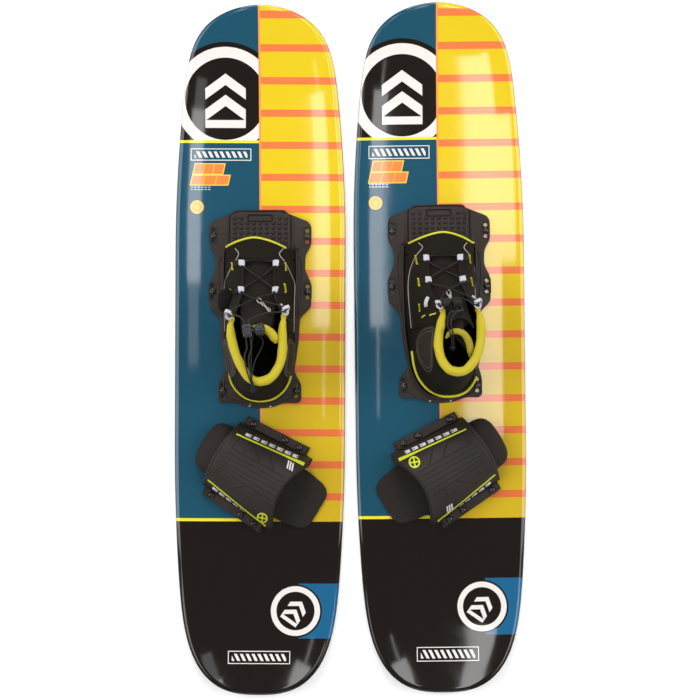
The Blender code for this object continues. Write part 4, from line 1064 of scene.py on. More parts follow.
# ============================================================ building one ski
def build_deck(side):
    tag = side.tag
    body_mat, deck_mat = M["base"], deck_material(side)

    def stack(name, rings, mat, slot, node, cap_bottom=True, cap_top=True):
        loops = outline_rings([r[0] for r in rings])
        V, F, U, ids = [], [], [], []
        n = len(loops[0])
        for (inset, zf), loop in zip(rings, loops):
            row = []
            for x, y in loop:
                row.append(len(V))
                V.append((side.m * x, y, zf(y)))
                U.append((x, y))
            for x, y in loop[-2:0:-1]:
                row.append(len(V))
                V.append((side.m * -x, y, zf(y)))
                U.append((-x, y))
            ids.append(row)
        k = len(ids[0])
        for a, b in zip(ids[:-1], ids[1:]):
            for i in range(k):
                j = (i + 1) % k
                F.append((a[j], a[i], b[i], b[j]))
        for row, up, on in ((ids[0], False, cap_bottom), (ids[-1], True, cap_top)):
            if not on:
                continue
            for i in range(n - 1):
                r0, r1 = row[i], row[i + 1]
                l0, l1 = row[(k - i) % k], row[(k - i - 1) % k]
                quad = [r0, l0, l1, r1]
                quad = [q for z, q in enumerate(quad) if q not in quad[:z]]
                F.append(tuple(quad) if up else tuple(reversed(quad)))
        # ski coordinates here are not mirrored: the print runs the same way on both skis
        pts = [(side.m * v[0], v[1], v[2]) for v in V]
        ob = put(side, name, [(side.m * p[0], p[1], p[2]) for p in pts], F if side.m > 0 else [tuple(reversed(f)) for f in F],
                 mat, side.ski, uv=U, slot=slot, angle=75)
        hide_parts(node)
        return ob

    top = lambda y: rocker(y) + core_thickness(y)
    base_rings = [(BASE_ROLL, rocker)]
    for k in (0.25, 0.5, 0.75, 1.0):
        a = math.pi / 2 * k
        base_rings.append((BASE_ROLL * (1 - math.sin(a)), lambda y, a=a: rocker(y) + 0.25 * core_thickness(y) * (1 - math.cos(a))))
    base_rings += [(0.0, lambda y: rocker(y) + 0.55 * core_thickness(y)),
                   (0.0, lambda y: top(y) - EDGE_DROP),
                   (0.0025, lambda y: top(y) - EDGE_DROP + 0.0008),
                   (EDGE_ROLL + 0.002, lambda y: top(y) - 0.0012)]
    stack(tag + "_core_and_base", base_rings, body_mat, "core", tag + "_ski_core")

    def drop(i):
        d = 0.0009 * max(0.0, (0.045 - i) / 0.0365) ** 2 if i < 0.045 else 0.0
        if i < 0.0085:
            k = min(1.0, (0.0085 - i) / 0.0081)
            d = 0.0009 + 0.00010 * k + 0.0033 * (1 - math.sqrt(max(0.0, 1 - k * k)))
        return d

    rings = [(0.0022, lambda y: top(y) + GAP - EDGE_DROP + 0.0003), (0.0004, lambda y: top(y) + GAP - EDGE_DROP + 0.0002)]
    for i in (0.0004, 0.00055, 0.0009, 0.0015, 0.0024, 0.0036, 0.0052, 0.0070, 0.0088, 0.0120, 0.0165, 0.0220,
              0.0290, 0.0370, 0.0450):
        rings.append((i, lambda y, i=i: deck_z(y) - drop(i)))
    stack(tag + "_printed_deck", rings, deck_mat, "top_sheet", tag + "_top_sheet")


def half_plate():
    return [(0.0000, 0.2164), (0.0370, 0.2164), (0.0416, 0.2112), (0.0739, 0.1985), (0.0785, 0.1910),
            (0.0785, 0.1625), (0.0695, 0.1465), (0.0690, 0.1240), (0.0785, 0.1040), (0.0785, 0.0670),
            (0.0615, 0.0500), (0.0598, 0.0160), (0.0562, -0.0110), (0.0530, -0.0290), (0.0562, -0.0385),
            (0.0640, -0.0520), (0.0640, -0.0765), (0.0580, -0.0812), (0.0385, -0.0800), (0.0200, -0.0875), (0.0000, -0.0892)]


def sole_band(side, ss, a, b):
    """Closed outline between two offsets of the boot's sole line."""
    path = [np.array(p) for p in ((0.0528, 0.1540), (0.0533, 0.1480))] + [np.array(sole_curve(s)) for s in ss]
    full = path + [np.array((-x, y)) for x, y in reversed(path[:-1])]
    inner, outer = [], []
    for i, p in enumerate(full):
        t = full[min(len(full) - 1, i + 1)] - full[max(0, i - 1)]
        t /= np.linalg.norm(t)
        n = np.array([-t[1], t[0]])
        n = n if np.dot(n, p - np.array([0, 0.03])) > 0 else -n
        inner.append(tuple(p + n * a + (heel_dx(side, p[1]), side.shift)))
        outer.append(tuple(p + n * b + (heel_dx(side, p[1]), side.shift)))
    return inner, outer


def build_plate(side):
    tag, dy = side.tag, side.shift
    half = half_plate()
    outline = [(-x, y + dy) for x, y in half[1:-1]] + [(x, y + dy) for x, y in reversed(half)]
    outline = [(x + (heel_dx(side, y - dy) if -0.045 < y - dy < 0.03 else 0.0), y) for x, y in outline]
    outline = rounded(outline, 0.0060, 5)
    screws = [(sx * x, y + dy) for x, y in PLATE_SCREWS for sx in (-1, 1)]
    holes = [circle(x, y + k * ADJUST_PITCH, 0.0031, 18) for x, y in screws for k in (-1, 0, 1)]
    zt = ZP + PLATE_T
    ob = plate2d(side, tag + "_plate_moulding", [outline] + holes, ZP, zt, 0.0010, M["plate"], side.ski, "plate")
    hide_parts(tag + "_binding_plate")
    # counterbore rims round the holes in each ear
    parts = []
    for x, y in screws:
        pts = []
        for k in range(33):
            a = 2 * math.pi * k / 32
            pts.append((x + 0.0058 * math.cos(a), y + (0.0058 + ADJUST_PITCH * 0.98) * math.sin(a) if False else
                        y + 0.0058 * math.sin(a) + math.copysign(ADJUST_PITCH, math.sin(a)) * min(1.0, abs(math.sin(a)) * 6),
                        zt + 0.0001))
        parts.append(tube_data(pts, 0.00055, sides=6, dome=False))
    v, f, uv = merge(parts)
    outward(put(side, tag + "_ear_bosses", v, f, M["plate"], side.ski, uv=uv, slot="plate"))
    # raised toe platform, its side ridges and a plain label recess
    plat = [(-0.0462, 0.1330), (0.0462, 0.1330), (0.0462, 0.2080), (0.0330, 0.2130), (-0.0330, 0.2130), (-0.0462, 0.2080)]
    lab = rounded([(-0.0178, 0.1995), (0.0178, 0.1995), (0.0178, 0.2078), (-0.0178, 0.2078)], 0.004, 5)
    plate2d(side, tag + "_toe_platform", [rounded([(x, y + dy) for x, y in plat], 0.004, 4),
                                          [(x, y + dy) for x, y in lab]],
            zt - 0.0005, zt + PLATFORM_T, 0.0007, M["plate"], side.ski, "plate")
    plate2d(side, tag + "_label_recess", [[(x * 0.985, y + dy) for x, y in lab]], zt, zt + 0.0012, 0.0002, M["plate"],
            side.ski, "plate")
    zc = zt + PLATFORM_T
    parts = []
    # dark rings: a crescent shifted to one side under each grip dot, a frame round the label and a line along the
    # platform's foot, all painted shadow
    shadow_ring_parts = []
    for i in range(9):
        for j in range(7):
            x, y = -0.0392 + i * 0.0098, 0.1590 + j * 0.0074
            if y > 0.1990 and abs(x) < 0.0225:
                continue
            parts.append(lathe([(0.0, 0.0024), (0.0012, 0.0023), (0.0018, 0.0018), (0.0020, 0.0011), (0.0020, 0.0002)],
                               (x, y + dy, zc - 0.0001), (0, 0.06, 1), 14))
            ring = [(x + side.m * 0.0003 + 0.0026 * math.cos(a), y + dy - 0.0005 + 0.0025 * math.sin(a), zc - 0.00015)
                    for a in np.linspace(0, 2 * math.pi, 17)]
            shadow_ring_parts.append(tube_data(np.array(ring), 0.00045, sides=5, dome=False))
    frame_ = [(-0.0192, 0.1985), (0.0192, 0.1985), (0.0192, 0.2085), (-0.0192, 0.2085)]
    frame_ = [(x, y + dy, zc) for x, y in rounded(frame_, 0.004, 5)]
    shadow_ring_parts.append(tube_data(np.array(frame_ + frame_[:1]), 0.0007, sides=6, dome=False))
    foot_ = [(-0.0466, 0.1450), (-0.0466, 0.2068), (-0.0420, 0.2100), (-0.0330, 0.2136), (0.0330, 0.2136), (0.0420, 0.2100),
             (0.0466, 0.2068), (0.0466, 0.1450)]
    shadow_ring_parts.append(tube_data(smooth_path([(x, y + dy, zt + 0.0003) for x, y in foot_], 80), 0.0010, sides=6))
    v, f, uv = merge(shadow_ring_parts)
    outward(put(side, tag + "_grip_shadow_rings", v, f, M["recess"], side.ski, uv=uv, slot="plate"))
    v, f, uv = merge(parts)
    outward(put(side, tag + "_grip_dots", v, f, M["plate"], side.ski, uv=uv, slot="plate"))
    parts = []
    for sx in (-1, 1):
        pts = [(sx * 0.0500, 0.205 + dy, zt), (sx * 0.0512, 0.190 + dy, zt), (sx * 0.0515, 0.160 + dy, zt),
               (sx * 0.0560, 0.146 + dy, zt), (sx * 0.0620, 0.140 + dy, zt), (sx * 0.0640, 0.128 + dy, zt),
               (sx * 0.0640, 0.112 + dy, zt), (sx * 0.0635, 0.095 + dy, zt), (sx * 0.0615, 0.070 + dy, zt),
               (sx * 0.0590, 0.052 + dy, zt)]
        parts.append(tube_data(smooth_path(pts, 40), 0.0011, sides=8))
        pts = [(sx * 0.0545, -0.0425 + dy, zt), (sx * 0.0552, -0.052 + dy, zt), (sx * 0.0515, -0.070 + dy, zt),
               (sx * 0.0380, -0.0775 + dy, zt)]
        parts.append(tube_data(smooth_path(pts, 18), 0.0011, sides=8))
    v, f, uv = merge(parts)
    outward(put(side, tag + "_plate_ribs", v, f, M["plate"], side.ski, uv=uv, slot="plate"))
    # wall that cups the sole
    ss = list(np.linspace(0, 0.78, 26)) + list(np.linspace(0.80, 1.0, 16))
    inner, outer = sole_band(side, ss, 0.0009, 0.0009 + WALL_T)
    plate2d(side, tag + "_sole_wall", [inner + list(reversed(outer))], zt - 0.001, zt + WALL_H, 0.0009, M["plate"],
            side.ski, "plate")
    inner, outer = sole_band(side, ss, 0.0009 + WALL_T - 0.0004, 0.0009 + WALL_T + 0.0008)
    plate2d(side, tag + "_wall_foot", [inner + list(reversed(outer))], zt - 0.001, zt + 0.0026, 0.0009, M["plate"],
            side.ski, "plate")
    # round rivet by the toe platform and the three small ones at the heel
    parts = []
    parts.append(lathe([(0, 0.0040), (0.0012, 0.0040), (0.0020, 0.0030), (0.0022, 0.0004)], (0.0562, 0.1588 - 0.0 + dy, zt), (0, 0, 1), 18))
    v, f, uv = merge(parts)
    outward(put(side, tag + "_plate_rivet", v, f, M["plate"], side.ski, uv=uv, slot="plate"))
    parts = [lathe([(0, 0.0016), (0.0006, 0.0015), (0.0009, 0.0008), (0.00095, 0.0001)], (x, y + dy, zt + 0.0000), (0, 0, 1), 12)
             for x, y in ((-0.0155, -0.0855), (0.0165, -0.0858), (-0.0140, -0.0815))]
    v, f, uv = merge(parts)
    outward(put(side, tag + "_heel_rivets", v, f, M["rivet"], side.ski, uv=uv, slot="screw"))
    # footbed
    foot = [sole_curve(s) for s in np.linspace(0.02, 0.99, 30)]
    k_in = (0.0535 - SHELL_T - 0.0030) / 0.0535
    foot = [(x * k_in, 0.1300 if i == 0 else y * (k_in if y < -0.03 else 1)) for i, (x, y) in enumerate(foot)]
    bed = [(x + heel_dx(side, y), y + dy) for x, y in reversed(foot)] + [(heel_dx(side, y) - x, y + dy) for x, y in foot]
    ob = plate2d(side, tag + "_boot_footbed", [bed], Z0, Z0 + 0.0050, 0.0010, M["foam"], side.ski, "foam")
    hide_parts(tag + "_footbed")


def screw_mesh(side, name, x, y, z, node):
    prof = [(-0.0015, 0.0024), (0.0, 0.0024), (0.0, 0.0046), (0.0004, 0.0048), (0.0012, 0.0047), (0.0020, 0.0040),
            (0.0025, 0.0029), (0.0026, 0.0021), (0.0024, 0.0019), (0.0010, 0.0016), (0.0009, 0.0002)]
    v, f, uv = lathe(prof, (x, y, z), (0, 0, 1), 24)
    ob = outward(put(side, name, v, f, M["screw"], side.ski, uv=uv, slot="screw", angle=35))
    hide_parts(node)
    return ob


def strip_holes(side, sign):
    f = math.radians(STRIP_FLARE) * sign
    return [strap_uv(side, u * math.cos(f), sign * STRIP_OFFSET + u * math.sin(f), 0)[:2] for u in STRIP_SCREWS]


def build_screws(side):
    tag = side.tag
    zt = ZP + PLATE_T + GAP
    names = [f"plate_screw_{n}" for n in ("front_outer", "front_inner", "mid_outer", "mid_inner",
                                         "heel_outer", "heel_inner")]
    for n, (x, y) in zip(names, [(sx * x, y + side.shift) for x, y in PLATE_SCREWS for sx in (-1, 1)]):
        screw_mesh(side, f"{tag}_{n}_head", x, y, zt, f"{tag}_{n}")
    zs = DECK + GAP + OVERLAY_T + GAP + STRIP_T + GAP
    for sign, word in ((1, "front"), (-1, "rear")):
        for i, (x, y) in enumerate(strip_holes(side, sign)):
            screw_mesh(side, f"{tag}_strap_screw_{word}_{i + 1}_head", x, y, zs, f"{tag}_strap_screw_{word}_{i + 1}")


def side_fold(side, px, py, body):
    """Soft fold of the upper that bulges out over the plate beside the laces; its darker copy of the boot fabric is
    painted shade.
    """
    z = on_boot(side, px + 4.2, py, -1, 0.0)[2] - 0.0035
    c = at(side, px, py, z)
    ex = at(side, px + 8, py, z) - c
    ex /= np.linalg.norm(ex)
    ey = np.cross((0, 0, 1.0), ex)
    nrm, tan = (np.array((0, 0, 1.0)) - ex) / math.sqrt(2), (np.array((0, 0, 1.0)) + ex) / math.sqrt(2)
    n, m = 40, 22
    V, F, U = [], [], []
    for j in range(m + 1):
        th = math.pi * (0.001 + 0.998 * j / m)
        for i in range(n):
            ph = 2 * math.pi * i / n
            a, b, h = math.sin(th) * math.cos(ph), math.sin(th) * math.sin(ph), math.cos(th)
            k = 1 + 0.05 * math.sin(3 * ph + 0.6) * math.sin(th) + 0.035 * math.sin(7 * b + 2.5 * a)
            V.append(tuple(c + tan * (a * 0.0150 * k + b * 0.0030) + ey * b * 0.0181 * k
                           + nrm * (h * 0.0085 * k if h > 0 else h * 0.0025)))
            U.append((a * 0.015, b * 0.018))
    for j in range(m):
        for i in range(n):
            k = (i + 1) % n
            F.append((j * n + i, (j + 1) * n + i, (j + 1) * n + k, j * n + k))
    F.append(tuple(reversed(range(n))))
    F.append(tuple(m * n + i for i in range(n)))
    outward(put(side, side.tag + "_side_fold", V, F, M["fold"], body, uv=U, slot="boot_fabric", angle=70))


def build_boot(side):
    tag, dy = side.tag, side.shift
    if tag == "left":
        side_fold(side, 225.3, 299.7, side.ski)
    # toe piece
    ob = shell(side, tag + "_toe_piece", grid(64, 14, lambda u, v: toe_point(side, 1 - u, v)), SHELL_T, M["boot"], side.ski,
               "boot_fabric")
    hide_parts(tag + "_toe_overlay")
    P = [toe_point(side, u, 1.0, 0.0004) + (0, 0.0010, 0) for u in np.linspace(side.toe[1], side.toe[2], 70)]
    tube(side, tag + "_toe_piping", P, 0.0016, M["piping"], side.ski, sides=10, slot="collar")
    # band across the foot behind the arch, as the seam where the tongue is sewn in
    P = [toe_point(side, u, -0.02, 0.0002) for u in np.linspace(0.16, 0.84, 50)]
    tube(side, tag + "_toe_seam", P, 0.0012, M["boot2"], side.ski, sides=8, slot="boot_fabric")
    split = 0.52
    for hand, word in ((1, "inner"), (-1, "outer")):
        fn = (lambda u, v: upper(side, split * v, u, 1)) if hand > 0 else (lambda u, v: upper(side, split * (1 - v), u, -1))
        ob = shell(side, f"{tag}_{word}_side", grid(36, 44, fn), SHELL_T, M["boot"], side.ski, "boot_fabric")
        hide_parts(f"{tag}_{word}_quarter")
        # bound edge along the lace throat
        P = [upper(side, s, 1.0, hand) + np.array((0, 0, 0.0003)) for s in np.linspace(0.0, 0.44, 40)]
        tube(side, f"{tag}_{word}_throat_binding", P, 0.0022, M["boot2"], side.ski, sides=10, slot="boot_fabric")
        # light seam line sweeping from the toe arch down the forefoot
        raw = [on_boot(side, a, b, hand, 0.0005) for a, b in side.seams[hand] if (tag, hand) != ("left", 1) or b < 280]
        top = raw[2:]
        if (tag, hand) != ("right", 1):
            y_end = raw[-1][1]
            first = min((s for s in np.linspace(0, 0.5, 51) if upper(side, s, 0.15, hand)[1] < y_end - 0.012), default=0.4)
            raw = raw + [upper_out(side, s, 0.17 - 0.04 * (s - first), hand, 0.0009) for s in np.linspace(first, 0.50, 7)]
        P = smooth_path(raw, 90)
        tube(side, f"{tag}_{word}_side_piping", P, 0.00075, M["edge_l"], side.ski, sides=8, slot="boot_fabric")
        off = np.array((-0.0030 * hand, 0, 0.0006))
        rows = [on_boot(side, *seen(side, p + off), hand, 0.0003) for p in smooth_path(top, 26)]
        v, f, uv = stitches(rows)
        outward(put(side, f"{tag}_{word}_side_stitches", v, f, M["edge_g"], side.ski, uv=uv, slot="boot_fabric"))
        # seam to the heel counter
        P = [upper_out(side, 0.525, q, hand, 0.0006) for q in np.linspace(0.03, 0.98, 30)]
        tube(side, f"{tag}_{word}_heel_seam", P, 0.0010, M["boot2"], side.ski, sides=8, slot="boot_fabric")

    def counter(u, v):
        k = 2 * v - 1
        s = 1 - abs(k) * (1 - (split + 0.010))
        return upper(side, s, u * 0.985, 1 if k < 0 else -1)

    ob = shell(side, tag + "_heel_cup", grid(40, 96, counter), SHELL_T, M["boot"], side.ski, "boot_fabric")
    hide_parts(tag + "_heel_counter")

    # soft panel on each side of the heel with a double row of stitches
    for hand, word in ((1, "inner"), (-1, "outer")):
        flat = tag == "right" and hand > 0
        poly = [np.array(p, float) for p in chaikin(side.panels[hand], 2)]
        if not flat:
            poly = []
            for i in range(56):
                a = 2 * math.pi * i / 56
                c, d = math.cos(a), math.sin(a)
                x, y = math.copysign(abs(c) ** 0.55, c), math.copysign(abs(d) ** 0.55, d)
                poly.append(np.array((0.705 + 0.125 * x * (1 + 0.10 * y), 0.50 + 0.34 * y)))
        cen = sum(poly) / len(poly)
        n, m = len(poly), 8

        def place(q, off, hand=hand, flat=flat):
            return on_boot(side, q[0], q[1], hand, off) if flat else upper_out(side, q[0], q[1], hand, off)

        V, F, U = [], [], []
        for j in range(m + 1):
            g_ = max(1 - j / m, 0.002)
            for i in range(n):
                q = cen + (poly[i] - cen) * g_
                V.append(tuple(place(q, 0.0006 + 0.0009 * min(1.0, (1 - g_) * 5))))
                U.append((q[0] * 0.0015, q[1] * 0.0015) if flat else (q[0] * 0.19, q[1] * 0.14))
        for j in range(m):
            for i in range(n):
                k = (i + 1) % n
                F.append((j * n + i, j * n + k, (j + 1) * n + k, (j + 1) * n + i))
        F.append(tuple(m * n + i for i in range(n)))
        ob = put(side, f"{tag}_{word}_heel_panel", V, F, M["panel"], side.ski, uv=U, slot="boot_fabric")
        outward(ob)
        md = ob.modifiers.new("thickness", "SOLIDIFY")
        md.thickness = 0.0010
        md.offset = 0.0
        for k, gr in enumerate((0.90, 0.76)):
            ring = [cen + (q - cen) * gr for q in poly + [poly[0]]]
            P = [place(q, 0.0021) for q in ring]
            v, f, uv = stitches(P, 0.0040, 0.0025, 0.0003)
            outward(put(side, f"{tag}_{word}_panel_stitches_{k}", v, f, M["stitch_g"], side.ski, uv=uv, slot="boot_fabric"))

    # yellow piping round the heel, above the plate's wall
    raw = []
    for a, b in side.heel:
        p = at(side, a, b, Z0 + 0.0175)
        if tag == "right" and a < 456:
            q = on_boot(side, a, b, 1, 0.0012)
            if np.linalg.norm(seen(side, q) - (a, b)) < 1.0 and q[2] > p[2]:
                p = q
        raw.append(p)
    P = smooth_path(raw, 110)
    tube(side, tag + "_heel_piping", P, 0.0018 if tag == "left" else 0.0021, M["piping"], side.ski, sides=10, slot="collar")
    # band between piping and heel that the piping is sewn to
    def skirt(u, v):
        p = P[min(109, int(round(v * 109)))]
        cen = np.array((p[0] * 0.55, 0.0 if p[1] > 0 else p[1] * 0.55, p[2]))
        d = cen - p
        d /= np.linalg.norm(d)
        return p + d * 0.0140 * u + np.array((0, 0, 0.0010 * u - 0.0016 * (1 - u)))
    shell(side, tag + "_heel_rand", grid(8, 109, skirt), 0.0016, M["boot2"], side.ski, "boot_fabric")
    Q = np.array([skirt(0.22, v) for v in np.linspace(0.02, 0.98, 100)]) + (0, 0, 0.0010)
    v, f, uv = stitches(Q, 0.0042, 0.0026, 0.0003)
    outward(put(side, tag + "_heel_stitches", v, f, M["edge_g"], side.ski, uv=uv, slot="boot_fabric"))


def build_tongue(side):
    tag = side.tag
    body = side.tongue_body

    def fn(u, v):
        t, a = 1 - v, 2 * u - 1
        # quilted: soft cross channels
        ch = 0.0
        for c in (0.30, 0.52, 0.74):
            ch -= 0.0010 * math.exp(-((t - c) / 0.012) ** 2)
        edge = 0.0016 * (1 - max(0.0, (abs(a) - 0.80) / 0.20) ** 2)
        return tongue_point(side, t, a, ch + edge - 0.0012)

    ob = shell(side, tag + "_padded_tongue", grid(40, 90, fn), 0.0036, M["boot2"], body, "boot_fabric")
    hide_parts(tag + "_tongue")
    # stitched border
    for sg, w in ((-1, "a"), (1, "b")):
        P = [tongue_point(side, t, sg * 0.84, 0.0006) for t in np.linspace(0.12, 0.97, 60)]
        v, f, uv = stitches(P)
        outward(put(side, f"{tag}_tongue_stitches_{w}", v, f, M["edge_g"], body, uv=uv, slot="boot_fabric"))
    # yellow roll along the top edge, turned down into the boot at one end
    P = smooth_path([at(side, a, b, Z0 + c) for a, b, c in side.roll], 48)
    r0, r1 = side.roll_r

    def behind(u, v):
        """Facing from the tongue's top edge down to the roll."""
        a = tongue_point(side, 0.90, (1 - 2 * v) * side.m * 0.96, -0.0006)
        i = min(47, int(round(v * 47)))
        b = P[i] + np.array((0, 0.0010, -0.0012))
        k = u * u * (3 - 2 * u)
        p = a * (1 - u) + b * u
        p[2] += 0.0050 * math.sin(math.pi * u) * (1 - abs(2 * v - 1) ** 2)
        return p

    shell(side, tag + "_tongue_facing", grid(14, 47, behind), 0.0014, M["boot2"], body, "boot_fabric")
    rr = np.array([(r0 + (r1 - r0) * min(1.0, (i / 47) * 1.6) ** 0.8) * (0.6 + 0.4 * min(1.0, min(i, 47 - i) / 5))
                   for i in range(48)])
    ob = tube(side, tag + "_tongue_roll", P, rr * 0.95, M["collar"] if tag == "left" else M["collar_in"], body, sides=18,
              slot="collar")
    inflate(ob, 4.0, 0.0012, 12)


def build_collar(side):
    tag = side.tag
    pts = []
    s_start, n = 0.44, 60
    for i in range(n + 1):
        k = 2 * i / n - 1
        s = 1 - abs(k) * (1 - s_start)
        x, y, z = rim_point(side, s, 1 if k < 0 else -1)
        pts.append((x, y, z + RIM_TUBE_R + 0.0016 + Z0))
    P = smooth_path(pts, 120)
    m = len(P)
    R = np.zeros(m)
    for i in range(m):
        e = min(i, m - 1 - i)
        R[i] = RIM_TUBE_R * (0.40 + 0.60 * min(1.0, e / 15.0) ** 0.9)
        R[i] += RIM_TUBE_R * (0.13 * math.exp(-((e - 1.2) / 1.3) ** 2) - 0.09 * math.exp(-((e - 4.5) / 1.6) ** 2))
        R[i] *= 1.0 + 0.035 * math.sin(i * 0.37) * math.sin(i * 0.113 + 1.0)
    v, f, uv = tube_data(P, R * 0.95, sides=26, dome=True)
    # small gathers on the inside of the bend
    T, F = frames(P)
    V = np.array(v)
    rows = len(V) // 26
    for r_ in range(rows):
        i = min(m - 1, max(0, r_ - 4))
        c = P[i]
        for k in range(26):
            q = V[r_ * 26 + k]
            d = q - c
            l = np.linalg.norm(d)
            if l < 1e-6:
                continue
            w = mnoise.noise(Vector((i * 0.22, k * 0.25, 3.7 if tag == "left" else 9.1)))
            V[r_ * 26 + k] = q + d / l * w * 0.00055
    ob = outward(put(side, tag + "_padded_collar", [tuple(q) for q in V], f, M["collar"], side.ski, uv=uv, slot="collar",
                     angle=70))
    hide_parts(tag + "_ankle_collar")
    inflate(ob, 5.0, 0.0016, 16)
    sub = ob.modifiers.new("smooth", "SUBSURF")
    sub.levels = sub.render_levels = 1
    # black facing that joins the collar to the boot
    def facing(u, v):
        k = 2 * v - 1
        s = 1 - abs(k) * (1 - 0.47)
        hand = 1 if k < 0 else -1
        a = upper(side, s, 0.93, hand)
        b = upper(side, s, 1.0, hand)
        top = b + np.array((0, 0, 0.0060))
        p = a * (1 - u) + top * u
        q = upper_out(side, s, 0.93 + 0.06 * u, hand, 0.0)
        out = (q - upper_out(side, s, 0.93 + 0.06 * u, hand, -0.001))
        out /= np.linalg.norm(out)
        return p + out * (0.0008 + 0.0012 * math.sin(math.pi * u))

    shell(side, tag + "_collar_facing", grid(10, 90, facing), 0.0014, M["boot2"], side.ski, "boot_fabric")
    # dark lining that shows inside the ankle opening
    def lining(u, v):
        k = 2 * v - 1
        s = 1 - abs(k) * (1 - 0.50)
        hand = 1 if k < 0 else -1
        p = upper(side, s, 0.10 + 0.90 * u, hand)
        q = upper_out(side, s, 0.10 + 0.88 * u, hand, -0.0046)
        return np.array((q[0], q[1], p[2]))

    ob = shell(side, tag + "_boot_lining", grid(16, 60, lining), 0.0010, M["lining"], side.ski, "boot_fabric")
    bpy.context.view_layer.update()


def lock_frame(side):
    L = side.lock
    dy = side.shift
    if "t" in L:
        p0 = tongue_point(side, L["t"], 0.0, L["lift"])
        f = tongue_point(side, L["t"] + 0.06, 0.0) - tongue_point(side, L["t"] - 0.06, 0.0)
        c = p0 + np.array([L["x"], 0.0, 0.0])
    else:
        c = np.array(L["at"], dtype=float) + np.array([lean(side, L["at"][2]), dy, Z0])
        f = np.array(L["along"], dtype=float)
    f = f / np.linalg.norm(f)
    w = np.array(L["across"], dtype=float)
    w -= f * w.dot(f)
    w /= np.linalg.norm(w)
    g = np.cross(w, f)
    g = -g if g[2] < 0 else g
    return c, f, w, g


def build_lock(side):
    tag = side.tag
    c, f, w, g = lock_frame(side)
    hx, hy, hz = 0.0072, 0.0092, 0.0055
    body = tag + "_cord_lock"
    plastic = M["toggle"] if tag == "left" else M["toggle_k"]
    # moulded block: rounded box with grip ridges and two cord mouths
    n = 36
    V, F, U = [], [], []
    rows = [(-1.0, 0.80), (-0.97, 0.90), (-0.88, 0.98), (-0.7, 1.0), (-0.45, 1.0), (-0.38, 0.94), (-0.30, 1.0), (-0.12, 1.0),
            (-0.05, 0.94), (0.03, 1.0), (0.22, 1.0), (0.29, 0.94), (0.37, 1.0), (0.7, 1.0), (0.88, 0.98), (0.97, 0.90), (1.0, 0.80)]
    for b, k in rows:
        for i in range(n):
            a = 2 * math.pi * i / n
            cx = math.copysign(abs(math.cos(a)) ** 0.42, math.cos(a))
            cz = math.copysign(abs(math.sin(a)) ** 0.42, math.sin(a))
            V.append(tuple(c + w * hx * cx * k * 0.99 + g * hz * cz * k * 0.99 + f * hy * b))
            U.append((a * 0.004, b * hy))
    m = len(rows)
    for j in range(m - 1):
        for i in range(n):
            k = (i + 1) % n
            F.append((j * n + i, j * n + k, (j + 1) * n + k, (j + 1) * n + i))
    F.append(tuple(reversed(range(n))))
    F.append(tuple((m - 1) * n + i for i in range(n)))
    ob = outward(put(side, tag + "_lock_block", V, F, plastic, body, uv=U, slot="toggle", angle=30))
    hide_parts(tag + "_cord_lock")
    bore = 0.0032
    parts = []
    for sg in (-1, 1):
        for e in (-1, 1):
            parts.append(lathe([(0.0, 0.0027), (0.0007, 0.0026), (0.0009, 0.0021), (0.0002, 0.0018)],
                               c + w * sg * bore - g * 0.0018 + f * e * hy, f * e, 18))
    v, fc, uv = merge(parts)
    outward(put(side, tag + "_lock_mouths", v, fc, plastic, body, uv=uv, slot="toggle"))
    # button: stem and a turned knob with a dished face and a ridged rim
    base = c + g * 0.0029
    kr, kx = (1.20, 0.0034) if tag == "left" else (1.0, 0.0)
    prof = [(0.0030, 0.0017), (hx + 0.0038, 0.0019), (hx + 0.0042, 0.0055), (hx + 0.0050, 0.0068),
            (hx + 0.0064, 0.0078), (hx + 0.0080, 0.0080), (hx + 0.0090, 0.0076), (hx + 0.0100, 0.0080),
            (hx + 0.0118, 0.0080), (hx + 0.0134, 0.0072), (hx + 0.0145, 0.0060), (hx + 0.0150, 0.0048),
            (hx + 0.0146, 0.0036), (hx + 0.0143, 0.0004)]
    V, F, U = lathe([(a + kx * min(1.0, max(0.0, (a - hx - 0.0042) / 0.0092)), b * kr if b > 0.003 else b) for a, b in prof], base, w, 32)
    ob = outward(put(side, tag + "_lock_knob", V, F, plastic, tag + "_lock_button", uv=U, slot="toggle", angle=32))
    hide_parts(tag + "_lock_button")


